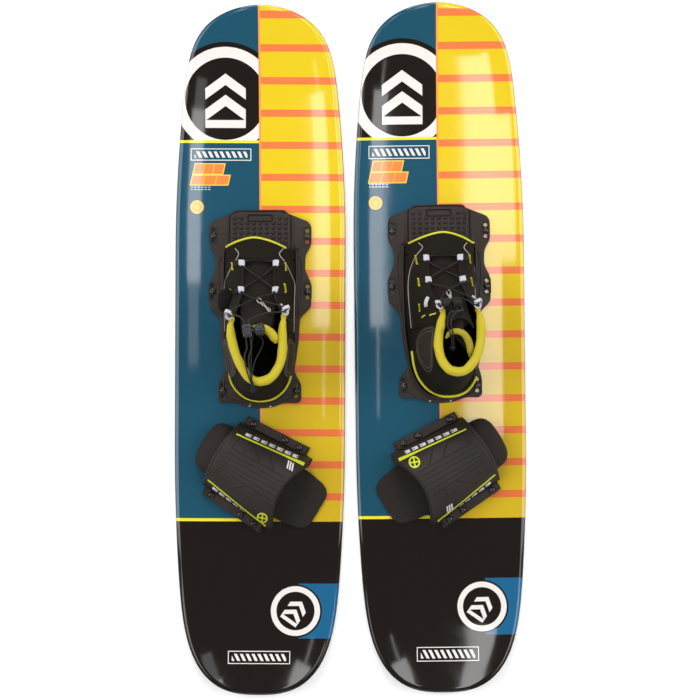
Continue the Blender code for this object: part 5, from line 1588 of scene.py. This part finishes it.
def build_lace(side):
    tag, dy = side.tag, side.shift
    L = side.lock
    c, f, w, g = lock_frame(side)
    bore, lift, hy = 0.0032, 0.0030, 0.0092

    def on_tongue(t, x, up=lift):
        y, z = tongue_line(t)
        n = tongue_normal(t)
        sag = 0.0035 + 0.0130 * max(0.0, (t - 0.3) / 0.7) ** 1.3
        off = up - 0.4 * sag * min(1.0, abs(x) / 0.0290) ** 2
        y, z = y + n[0] * off, z + n[1] * off
        return np.array((x + lean(side, z), y + dy, z + Z0))

    side.on_tongue = on_tongue
    a = c + w * -bore - g * 0.0018
    b = c + w * bore - g * 0.0018
    side.ring_at = {sg: at(side, *side.rings[sg], Z0 + 0.1345) for sg in (-1, 1)}
    r1, r2 = hy + 0.0010, hy + L["run"]
    rx, rt = L["ring"]
    x_mid, r2t = 0.0240, side.row2

    def up_to_lock(sg):
        R = side.ring_at[sg]
        mouth = (a if sg < 0 else b) - f * 0.019
        mid = R * 0.45 + mouth * 0.55 + np.array((0.0, 0.0015, 0.0025))
        return [R + (-sg * 0.0006, 0.0050, -0.0012), R + (sg * 0.0014, 0.0004, 0.0004), R + (-sg * 0.0034, -0.0016, 0.0016), mid]

    middle = [a - f * (r1 + 0.001), a - f * (r1 + 0.005)] + list(reversed(up_to_lock(-1)))
    middle += [on_tongue(r2t + 0.115, 0.0, 0.0076), on_tongue(r2t + 0.040, x_mid * 0.94, 0.0066), on_tongue(r2t, x_mid, 0.0076),
               on_tongue(r2t - 0.035, x_mid * 0.90, 0.0066), on_tongue((0.130 + r2t) / 2, 0.0, 0.0068),
               on_tongue(0.165, -x_mid * 0.90, 0.0066), on_tongue(0.130, -x_mid * 0.98, 0.0086),
               on_tongue(0.105, -x_mid * 0.75, 0.0082), on_tongue(0.100, 0.0, 0.0062),
               on_tongue(0.105, x_mid * 0.75, 0.0082), on_tongue(0.130, x_mid * 0.98, 0.0086),
               on_tongue(0.165, x_mid * 0.90, 0.0066), on_tongue((0.130 + r2t) / 2, 0.0, 0.0026),
               on_tongue(r2t - 0.035, -x_mid * 0.90, 0.0066), on_tongue(r2t, -x_mid, 0.0076),
               on_tongue(r2t + 0.040, -x_mid * 0.94, 0.0066), on_tongue(r2t + 0.115, 0.0, 0.0034)]
    middle += up_to_lock(1) + [b - f * (r1 + 0.005), b - f * (r1 + 0.001)]
    lacing = smooth_path(middle, 300)
    # the held part: from one mouth of the lock through every loop to the other
    # it stands out of the lock by the lock's own travel, so the lock slides along it
    run = side.slide + 0.0016
    P = np.array([a + f * (hy + run * k / 3) for k in (3, 2, 1)] + [a + f * (hy + 0.0005)]
                 + [a - f * (k * 0.004 - 0.004) for k in range(3)] + list(lacing)
                 + [b + f * (k * 0.004 - 0.008) for k in range(3)] + [b + f * (hy + 0.0005)]
                 + [b + f * (hy + run * k / 3) for k in (1, 2, 3)])
    v, fc, uv = tube_data(P, 0.0012, sides=10, dome=False)
    ob = outward(put(side, tag + "_lacing", v, fc, M["lace"], side.ski, uv=uv, slot="lace", angle=70))
    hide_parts(tag + "_lace")
    side.lacing_length = float(np.linalg.norm(np.diff(lacing, axis=0), axis=1).sum())
    # the two free ends
    side.ends = []
    for e, sg, word in ((a, -1, "a"), (b, 1, "b")):
        pts = [e + f * (hy + run + d) for d in (0.0004, 0.0016, 0.0032)]
        pts = pts + [at(side, u_, v_, Z0 + z_) for u_, v_, z_ in side.tails[sg][1 if tag == "left" else 0:]]
        P = smooth_path(pts, 48)
        v, fc, uv = tube_data(P, 0.0012, sides=10, dome=False)
        ob = outward(put(side, f"{tag}_lace_end_{word}", v, fc, M["lace"], side.ski, uv=uv, slot="lace", angle=70))
        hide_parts(tag + "_lace")
        W = [side.world(p) for p in P]
        length = float(np.linalg.norm(np.diff(np.array(W), axis=0), axis=1).sum())
        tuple(W[0])
        side.ends.append((P[-1], P[-1] - P[-3], length))
        print(f"{tag} lace end {word}: {length * 1000:.1f} mm")
    print(f"{tag} lacing: {side.lacing_length * 1000:.0f} mm")
    if tag == "left":
        loop = [(251.8, 386.6, 0.1515), (250.4, 378.5, 0.1600), (250.8, 369.0, 0.1596), (251.2, 360.0, 0.1560),
                (251.4, 350.0, 0.1520), (252.0, 342.0, 0.1506), (253.0, 336.6, 0.1530)]
        stem = c + w * 0.0094 + g * 0.0029
        P = [at(side, u_, v_, Z0 + z_) for u_, v_, z_ in loop]
        P += [stem + f * 0.0042 - g * 0.0010, stem + f * 0.0024 + g * 0.0022, stem + g * 0.0032,
              stem - f * 0.0030 + g * 0.0004, stem - f * 0.0018 - g * 0.0030 + w * 0.0006]
        P += [at(side, u_, v_, Z0 + z_) for u_, v_, z_ in
              ((258.0, 335.4, 0.1500), (262.0, 338.6, 0.1496), (263.0, 343.4, 0.1500), (260.2, 350.6, 0.1524),
               (256.0, 358.6, 0.1560), (253.4, 367.0, 0.1594), (251.8, 377.0, 0.1606), (252.2, 386.4, 0.1522))]
        P = smooth_path(P, 200)
        v, fc, uv = tube_data(P, 0.0009, sides=9)
        outward(put(side, tag + "_keeper_loop", v, fc, M["lace"], tag + "_cord_lock", uv=uv, slot="lace", angle=70))
    # overhand knot that ties the two ends
    m = (side.ends[0][0] + side.ends[1][0]) / 2
    d = side.ends[0][1] / np.linalg.norm(side.ends[0][1])
    e1 = np.cross(d, (0, 0, 1.0))
    e1 /= np.linalg.norm(e1)
    e2 = np.cross(d, e1)
    P = []
    for i in range(90):
        t = 2 * math.pi * i / 89
        x = (math.sin(t) + 2 * math.sin(2 * t)) * 0.00125
        y = (math.cos(t) - 2 * math.cos(2 * t)) * 0.00125
        z = -math.sin(3 * t) * 0.0013
        P.append(m + d * (x + 0.0008) + e1 * y + e2 * z)
    v, fc, uv = tube_data(np.array(P), 0.00125, sides=9, dome=False)
    outward(put(side, tag + "_lace_knot", v, fc, M["lace"], side.ski, uv=uv, slot="lace", angle=70))


def ribbon(P, N, width, thick, n_across=6):
    """Flat webbing along P; N is its face normal at each point. Closed, with rounded edges."""
    P, N = np.asarray(P, float), np.asarray(N, float)
    n = len(P)
    V, F, U = [], [], []
    prof = []
    for k in range(n_across + 1):
        a = -1 + 2 * k / n_across
        prof.append((a, 1.0 if abs(a) < 0.99 else 0.35))
    ring = [(a, h) for a, h in prof] + [(a, -h) for a, h in reversed(prof)]
    s = np.r_[0, np.cumsum(np.linalg.norm(np.diff(P, axis=0), axis=1))]
    for i in range(n):
        t = P[min(n - 1, i + 1)] - P[max(0, i - 1)]
        t /= np.linalg.norm(t) + 1e-12
        nn = N[i] - t * N[i].dot(t)
        nn /= np.linalg.norm(nn) + 1e-12
        b = np.cross(t, nn)
        for a, h in ring:
            V.append(tuple(P[i] + b * a * width / 2 + nn * h * thick / 2))
            U.append((s[i], a * width / 2))
    m = len(ring)
    for i in range(n - 1):
        for k in range(m):
            kn = (k + 1) % m
            F.append((i * m + k, i * m + kn, (i + 1) * m + kn, (i + 1) * m + k))
    F.append(tuple(reversed(range(m))))
    F.append(tuple((n - 1) * m + k for k in range(m)))
    return V, F, U


def build_loops(side):
    """White webbing loops that carry the lace, their black tails and yellow bartacks."""
    tag = side.tag
    on_t = side.on_tongue
    rx, rt = side.lock["ring"]
    spots = [(0.130, 0.0240, 0.0086, 0.0092), (side.row2, 0.0240, 0.0076, 0.0092), (None, rx, 0.0072, 0.0060)]
    whites, blacks, tacks = [], [], []
    for t, x, up, wid in spots:
        for sg in (-1, 1):
            if t is None:
                lace = side.ring_at[sg] + (0.0, 0.0030, -0.0008)
                d = upper(side, 0.44, 1.0, sg) - upper(side, 0.36, 1.0, sg)
            else:
                lace = on_t(t, sg * x, up)
                d = on_t(min(1.0, t + 0.03), sg * x, up) - on_t(t - 0.03, sg * x, up)
            d /= np.linalg.norm(d)
            outw = np.array((float(sg), 0.0, 0.0))
            outw -= d * outw.dot(d)
            outw /= np.linalg.norm(outw)
            nn = np.cross(d, outw)
            nn = nn if nn[2] > 0 else -nn
            # nearest place on the quarter's upper edge
            best = min(((np.linalg.norm(upper(side, s, 0.97, sg) - lace), s) for s in np.linspace(0.0, 0.52, 60)))
            s = best[1]
            rim = upper_out(side, s, 0.985, sg, 0.0030)
            low = upper_out(side, s, 0.80, sg, 0.0012)
            low2 = upper_out(side, s, 0.66, sg, 0.0010)
            top = lace + nn * 0.0026 + outw * 0.0004
            P = [low2, low, rim, lace + nn * 0.0028 + outw * 0.0060, top, lace - outw * 0.0024 + nn * 0.0010,
                 lace - outw * 0.0020 - nn * 0.0016, lace - nn * 0.0024 + outw * 0.0012,
                 lace - nn * 0.0022 + outw * 0.0046]
            Ps = smooth_path(P, 46)
            # the face normal turns round the loop, pointing away from its inside
            T = np.gradient(Ps, axis=0)
            N = []
            for i in range(len(Ps)):
                q = np.cross(T[i], d)
                q /= np.linalg.norm(q) + 1e-12
                N.append(q)
            N = np.array(N)
            if N[8].dot(nn + outw * 0.5) < 0:
                N = -N
            k = 17 if t is not None else 20
            whites.append(ribbon(Ps[k:], N[k:], wid, 0.0011))
            blacks.append(ribbon(Ps[:k + 1], N[:k + 1], wid * 1.02, 0.0010))
    # bartacks: zigzag blocks of yellow thread at the feet of the loops
    for x0, y0, x1, y1 in side.tacks:
        n = int(round(math.hypot(x1 - x0, y1 - y0) / 0.62))
        hand = side.m * (1 if (x0 + x1) / 2 > (258.5 if tag == "left" else 445.0) else -1)
        pts = []
        for z in range(n + 1):
            e = 0.62 * (1 if z % 2 else -1)
            pts.append(on_boot(side, x0 + (x1 - x0) * z / n + e * (y1 - y0) / 8, y0 + (y1 - y0) * z / n - e * (x1 - x0) / 8,
                               hand, 0.0016))
        tacks.append(tube_data(np.array(pts), 0.00085, sides=6))
    for x0, y0, x1, y1, wid, up in side.extra:
        hand = side.m * (1 if (x0 + x1) / 2 > (258.5 if tag == "left" else 445.0) else -1)
        ps = []
        for k in range(15):
            t = k / 14 * 1.5 - 0.25
            ps.append(on_boot(side, x0 + (x1 - x0) * t, y0 + (y1 - y0) * t, hand,
                              0.0012 + up * math.sin(math.pi * min(1.0, max(0.0, t))) ** 0.6))
        ps = smooth_path(ps, 42)
        nn = np.array([(hand * 0.35, 0.0, 1.0)] * 42)
        whites.append(ribbon(ps[7:35], nn[7:35], wid, 0.0011))
        blacks.append(ribbon(ps[:8], nn[:8], wid * 1.04, 0.0010))
        blacks.append(ribbon(ps[34:], nn[34:], wid * 1.04, 0.0010))
    for nm, parts, mat, sl in (("lace_loops", whites, "web_w", "lace"), ("loop_tails", blacks, "web_k", "lace"),
                               ("bartacks", tacks, "stitch_y", "collar")):
        v, f, uv = merge(parts)
        outward(put(side, f"{tag}_{nm}", v, f, M[mat], side.ski, uv=uv, slot=sl))
    # wire rings where the lace turns at the ankle
    parts = []
    for sg in (-1, 1):
        c0 = side.ring_at[sg] + np.array((0.0, -0.0022, 0.0002))
        d = side.ring_at[sg] - upper(side, 0.30, 1.0, sg)
        d[2] *= 0.4
        d /= np.linalg.norm(d)
        e = np.array((float(sg), 0.0, 0.12))
        e -= d * e.dot(d)
        e /= np.linalg.norm(e)
        pts = [c0 + d * 0.0056 * math.cos(a) + e * 0.0040 * math.sin(a) for a in np.linspace(0, 2 * math.pi * 0.985, 44)]
        parts.append(tube_data(np.array(pts), 0.00105, sides=8, dome=False))
    v, f, uv = merge(parts)
    outward(put(side, tag + "_ankle_loops", v, f, M["web_w"], side.ski, uv=uv, slot="lace"))
    # knotted grey pull on the tongue: a small loop and its twisted tail
    def on_top(px, py, lift):
        z = Z0 + 0.095
        for _ in range(8):
            p = at(side, px, py, z)
            lo, hi = 0.0, 1.0
            for _ in range(24):
                mid = (lo + hi) / 2
                lo, hi = (mid, hi) if tongue_line(mid)[0] > p[1] - side.shift else (lo, mid)
            z = Z0 + tongue_line(lo)[1] + lift
        return at(side, px, py, z)

    cx, cy, tx, ty = (259.4, 300.6, 270.2, 311.2) if tag == "left" else (448.6, 292.6, 452.6, 302.6)
    d = np.array((tx - cx, ty - cy)) / math.hypot(tx - cx, ty - cy)
    e = np.array((-d[1], d[0]))
    parts = []
    loop = []
    for k in range(34):
        a = math.pi * (0.12 + 1.76 * k / 33) + math.pi
        q = np.array((cx, cy)) - d * 2.9 * math.cos(a) * -1 + e * 1.9 * math.sin(a)
        loop.append(on_top(q[0], q[1], 0.0046 + 0.0004 * math.sin(a)))
    parts.append(tube_data(np.array(loop), 0.00095, sides=8))
    for ph in (0.0, math.pi):
        tw = []
        for k in range(60):
            t = k / 59
            q = np.array((cx, cy)) + d * (2.4 + (math.hypot(tx - cx, ty - cy) - 2.4) * t)
            q = q + e * (0.85 + 0.5 * math.sin(9 * t)) * math.sin(16 * t + ph)
            tw.append(on_top(q[0], q[1], 0.0042 + 0.0010 * math.cos(16 * t + ph)))
        parts.append(tube_data(np.array(tw), 0.00085, sides=8))
    v, f, uv = merge(parts)
    outward(put(side, tag + "_pull_cord", v, f, M["pull"], side.tongue_body, uv=uv, slot="lace"))


def build_strap(side):
    tag = side.tag
    mat = strap_material(side)
    zf = DECK + GAP + OVERLAY_T
    u_toe = lambda v: -0.0660 + 0.0080 * min(1.0, abs(v) / 0.06) ** 2
    u_heel = lambda v: 0.0480 + 0.0170 * min(1.0, abs(v) / 0.050) ** 2
    NA = 128

    def groove(d, w=0.0010):
        return math.exp(-(d / w) ** 2)

    def relief(u, v):
        """Height of the moulding's raised toe rim, in metres, at strap millimetres (u, v)."""
        return 0.0006 * math.exp(-((u + 58) / 2.6) ** 2)

    def over(uu, vv):
        k = vv * (NA + 12)
        if k < 6 or k > NA + 6:
            fr = -1.0 if k < 6 else 1.0
            e = (6 - k) / 6 if k < 6 else (k - NA - 6) / 6
            u = u_toe(0.058) + (u_heel(0.058) - u_toe(0.058)) * uu
            u = max(-0.0535, min(0.0535, u))
            v = fr * (strap_span(u) + 0.0004 + e * (0.0728 - 0.0585 - 0.0004))
            return u, v, zf, 0.0, 0.0
        ang = math.pi * (k - 6) / NA
        frac = -math.cos(ang)
        u = u_toe(frac * 0.058) + (u_heel(frac * 0.058) - u_toe(frac * 0.058)) * uu
        span = strap_span(u)
        v = frac * span
        h = arch(v, span, strap_height(u))
        return u, v, zf + 0.0002 + h, h, span

    def pos(uu, vv):
        u, v, z, h, span = over(uu, vv)
        rel = relief(u * 1000, v * 1000) if span else 0.0
        nz = 1.0
        nv = 0.0
        if span and abs(v) > 1e-6:
            fr = min(0.98, abs(v / span))
            slope = strap_height(u) * 0.5 * 2.3 * fr ** 1.3 / span / max(0.12, (1 - fr ** 2.3) ** 0.5)
            nv = slope / math.hypot(1, slope) * math.copysign(1, v)
            nz = 1 / math.hypot(1, slope)
        return strap_uv(side, u, v + nv * rel, z + nz * rel)

    ob = shell(side, tag + "_strap_moulding",
               grid(84, NA + 12, pos, lambda uu, vv: over(uu, vv)[:2]), OVERLAY_T, mat, side.ski, "strap_rubber", angle=60)
    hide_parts(tag + "_strap_overlay")
    # rounded lip round the heel opening and the toe edge
    for name, uu in (("heel", 1.0), ("toe", 0.0)):
        P = []
        for k in np.linspace(7.5, NA + 4.5, 90):
            q = pos(uu, k / (NA + 12))
            P.append(q)
        P = np.array(P)
        cen = strap_uv(side, 0.0, 0.0, DECK + 0.010)
        ins = P + (cen - P) / np.linalg.norm(cen - P, axis=1, keepdims=True) * 0.0012
        tube(side, f"{tag}_strap_{name}_lip", ins, 0.0019, M["neoprene"] if name == "heel" else M["plate"], side.ski, sides=10,
             slot="strap_rubber")

    # soft liner with its closed toe hood
    hood = [(-0.0946, 0.0030, 0.0030), (-0.0938, 0.0150, 0.0105), (-0.0915, 0.0262, 0.0205), (-0.0868, 0.0345, 0.0300),
            (-0.0800, 0.0390, 0.0378), (-0.0720, 0.0408, 0.0430), (-0.0640, 0.0420, 0.0462), (-0.0580, 0.0450, 0.0484),
            (-0.0500, strap_span(-0.050) - 0.0060, strap_height(-0.050) - 0.0052)]

    def liner(uu, vv):
        frac = -math.cos(math.pi * vv)
        u0, u1 = -0.0946, u_heel(frac * 0.05) - 0.0030
        u = u0 + (u1 - u0) * (uu ** 1.6)
        if u < -0.050:
            span, high = smooth_keys(hood, u)
        else:
            span, high = strap_span(u) - OVERLAY_T - 0.0022, strap_height(u) - OVERLAY_T - 0.0018
        v = frac * span + 0.0015 * min(1.0, max(0.0, (-0.058 - u) / 0.010))
        z = DECK + GAP + arch(frac * span, span, high, 2.3 + 0.9 * min(1.0, max(0.0, (-0.055 - u) / 0.012))) + 0.0001
        z += 0.0006 * mnoise.noise(Vector((u * 60, v * 60, 4.0)))
        return strap_uv(side, u, v, z)

    ob = shell(side, tag + "_strap_sleeve", grid(90, 72, liner), LINER_T, M["neoprene"], side.ski, "neoprene", angle=60)
    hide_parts(tag + "_strap_liner")
    # foot pad
    pad = [(-0.080, 0.020), (-0.070, 0.032), (-0.055, 0.040), (0.000, 0.0425), (0.050, 0.0440), (0.075, 0.0435),
           (0.1000, 0.0385), (0.1095, 0.0330), (0.1137, 0.0240)]
    loop = [strap_uv(side, u, -v, 0)[:2] for u, v in pad] + [strap_uv(side, u, v, 0)[:2] for u, v in reversed(pad)]
    loop = rounded([tuple(p) for p in loop], 0.010, 5)
    ob = plate2d(side, tag + "_heel_pad", [loop], DECK + GAP, DECK + GAP + PAD_T, 0.0018, M["pad"], side.ski, "foam", res=3)
    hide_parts(tag + "_rear_foot_pad")
    # clamp strips with three screw recesses each
    for sign, word in ((1, "front"), (-1, "rear")):
        fl = math.radians(STRIP_FLARE) * sign
        pts = []
        for a_, b_ in ((-1, -1), (1, -1), (1, 1), (-1, 1)):
            u, v = a_ * STRIP_HALF_LEN, b_ * STRIP_HALF_WID
            uu = u * math.cos(fl) - v * math.sin(fl)
            vv = sign * STRIP_OFFSET + u * math.sin(fl) + v * math.cos(fl)
            pts.append(tuple(strap_uv(side, uu, vv, 0)[:2]))
        ob = plate2d(side, f"{tag}_clamp_strip_{word}", [rounded(pts, 0.0042, 5)] +
                     [circle(x, y, 0.0030, 18) for x, y in strip_holes(side, sign)],
                     zf + GAP, zf + GAP + STRIP_T, 0.0010, M["plate"], side.ski, "plate")
        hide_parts(f"{tag}_strap_plate_{word}")
        parts = []
        for x, y in strip_holes(side, sign):
            P = [(x + 0.0062 * math.cos(a), y + 0.0062 * math.sin(a), zf + GAP + STRIP_T) for a in np.linspace(0, 2 * math.pi, 33)]
            parts.append(tube_data(np.array(P), 0.0005, sides=6, dome=False))
        v, f, uv = merge(parts)
        outward(put(side, f"{tag}_strip_rims_{word}", v, f, M["plate"], side.ski, uv=uv, slot="plate"))


for sd in (left, right):
    build_lock(sd)
    build_lace(sd)
for sd in (left, right):
    build_deck(sd)
    build_plate(sd)
    build_screws(sd)
    build_boot(sd)
    build_tongue(sd)
    build_collar(sd)
    build_loops(sd)
    build_strap(sd)

# ============================================================ stage and light
g = G("studio_floor", (0.95, 0.95, 0.95), 0.9, Specular_IOR_Level=0.0, Emission_Strength=0.27)
g.b.inputs["Emission Color"].default_value = (1, 1, 1, 1)
far = g.t.nodes.new("ShaderNodeVectorMath")
far.operation = "LENGTH"
g.t.links.new(g.obj().o, far.inputs[0])
g.t.links.new(g.remap(E(g, far.outputs["Value"]), 1.2, 4.5, 0.27, 0.95).o, g.b.inputs["Emission Strength"])
g.base(g.mix(g.noise(g.obj(), 3.0, 2.0), (0.945, 0.945, 0.945), (0.955, 0.955, 0.955)))
me = bpy.data.meshes.new("floor")
me.from_pydata([(-30, -30, -0.0005), (30, -30, -0.0005), (30, 30, -0.0005), (-30, 30, -0.0005)], [], [(0, 1, 2, 3)])
me.materials.append(g.mat)
floor = bpy.data.objects.new("studio_floor", me)
scene.collection.objects.link(floor)


def area(name, loc, target, size, power, size_y=None, color=(1, 1, 1)):
    li = bpy.data.lights.new(name, "AREA")
    li.energy = power
    li.color = color
    li.shape = "RECTANGLE"
    li.size, li.size_y = size, size_y or size
    ob = bpy.data.objects.new(name, li)
    ob.location = loc
    d = Vector(target) - Vector(loc)
    ob.rotation_euler = d.to_track_quat("-Z", "Y").to_euler()
    scene.collection.objects.link(ob)
    return ob


area("side_left", (-2.6, 0.1, 2.3), (0, 0, 0), 1.6, 58, 3.0)
area("side_right", (2.6, 0.1, 2.3), (0, 0, 0), 1.6, 58, 3.0)
area("front", (0.0, -3.0, 2.6), (0, 0, 0), 2.6, 28, 1.4)
area("back", (-0.3, 2.6, 2.4), (0, 0, 0), 1.6, 62, 0.9)
area("strip_right", (0.392, 0.17, 2.5), (0.392, 0.17, 0), 0.165, 2.75, 0.80)
area("box_right", (0.560, 0.42, 2.5), (0.560, 0.42, 0), 0.20, 1.40, 0.36)
area("strip_mid", (0.000, 0.33, 2.5), (0.000, 0.33, 0), 0.170, 1.75, 0.54)
area("line_mid", (0.010, -0.06, 2.5), (0.010, -0.06, 0), 0.030, 0.07, 0.24)
area("strip_left", (-0.53, 0.36, 2.5), (-0.53, 0.36, 0), 0.17, 1.27, 0.36)
area("strip_left_low", (-0.53, 0.07, 2.5), (-0.53, 0.07, 0), 0.13, 0.15, 0.22)

world = bpy.data.worlds.new("studio")
scene.world = world
world.use_nodes = True
nt = world.node_tree
bg = nt.nodes["Background"]
bg.inputs["Color"].default_value = (1.0, 1.0, 1.0, 1)
lp = nt.nodes.new("ShaderNodeLightPath")
mr = nt.nodes.new("ShaderNodeMapRange")
mr.inputs[3].default_value, mr.inputs[4].default_value = 0.20, 1.0
nt.links.new(lp.outputs["Is Camera Ray"], mr.inputs[0])
nt.links.new(mr.outputs[0], bg.inputs["Strength"])
scene.view_settings.view_transform = "Standard"
scene.view_settings.look = "None"

bpy.context.view_layer.update()
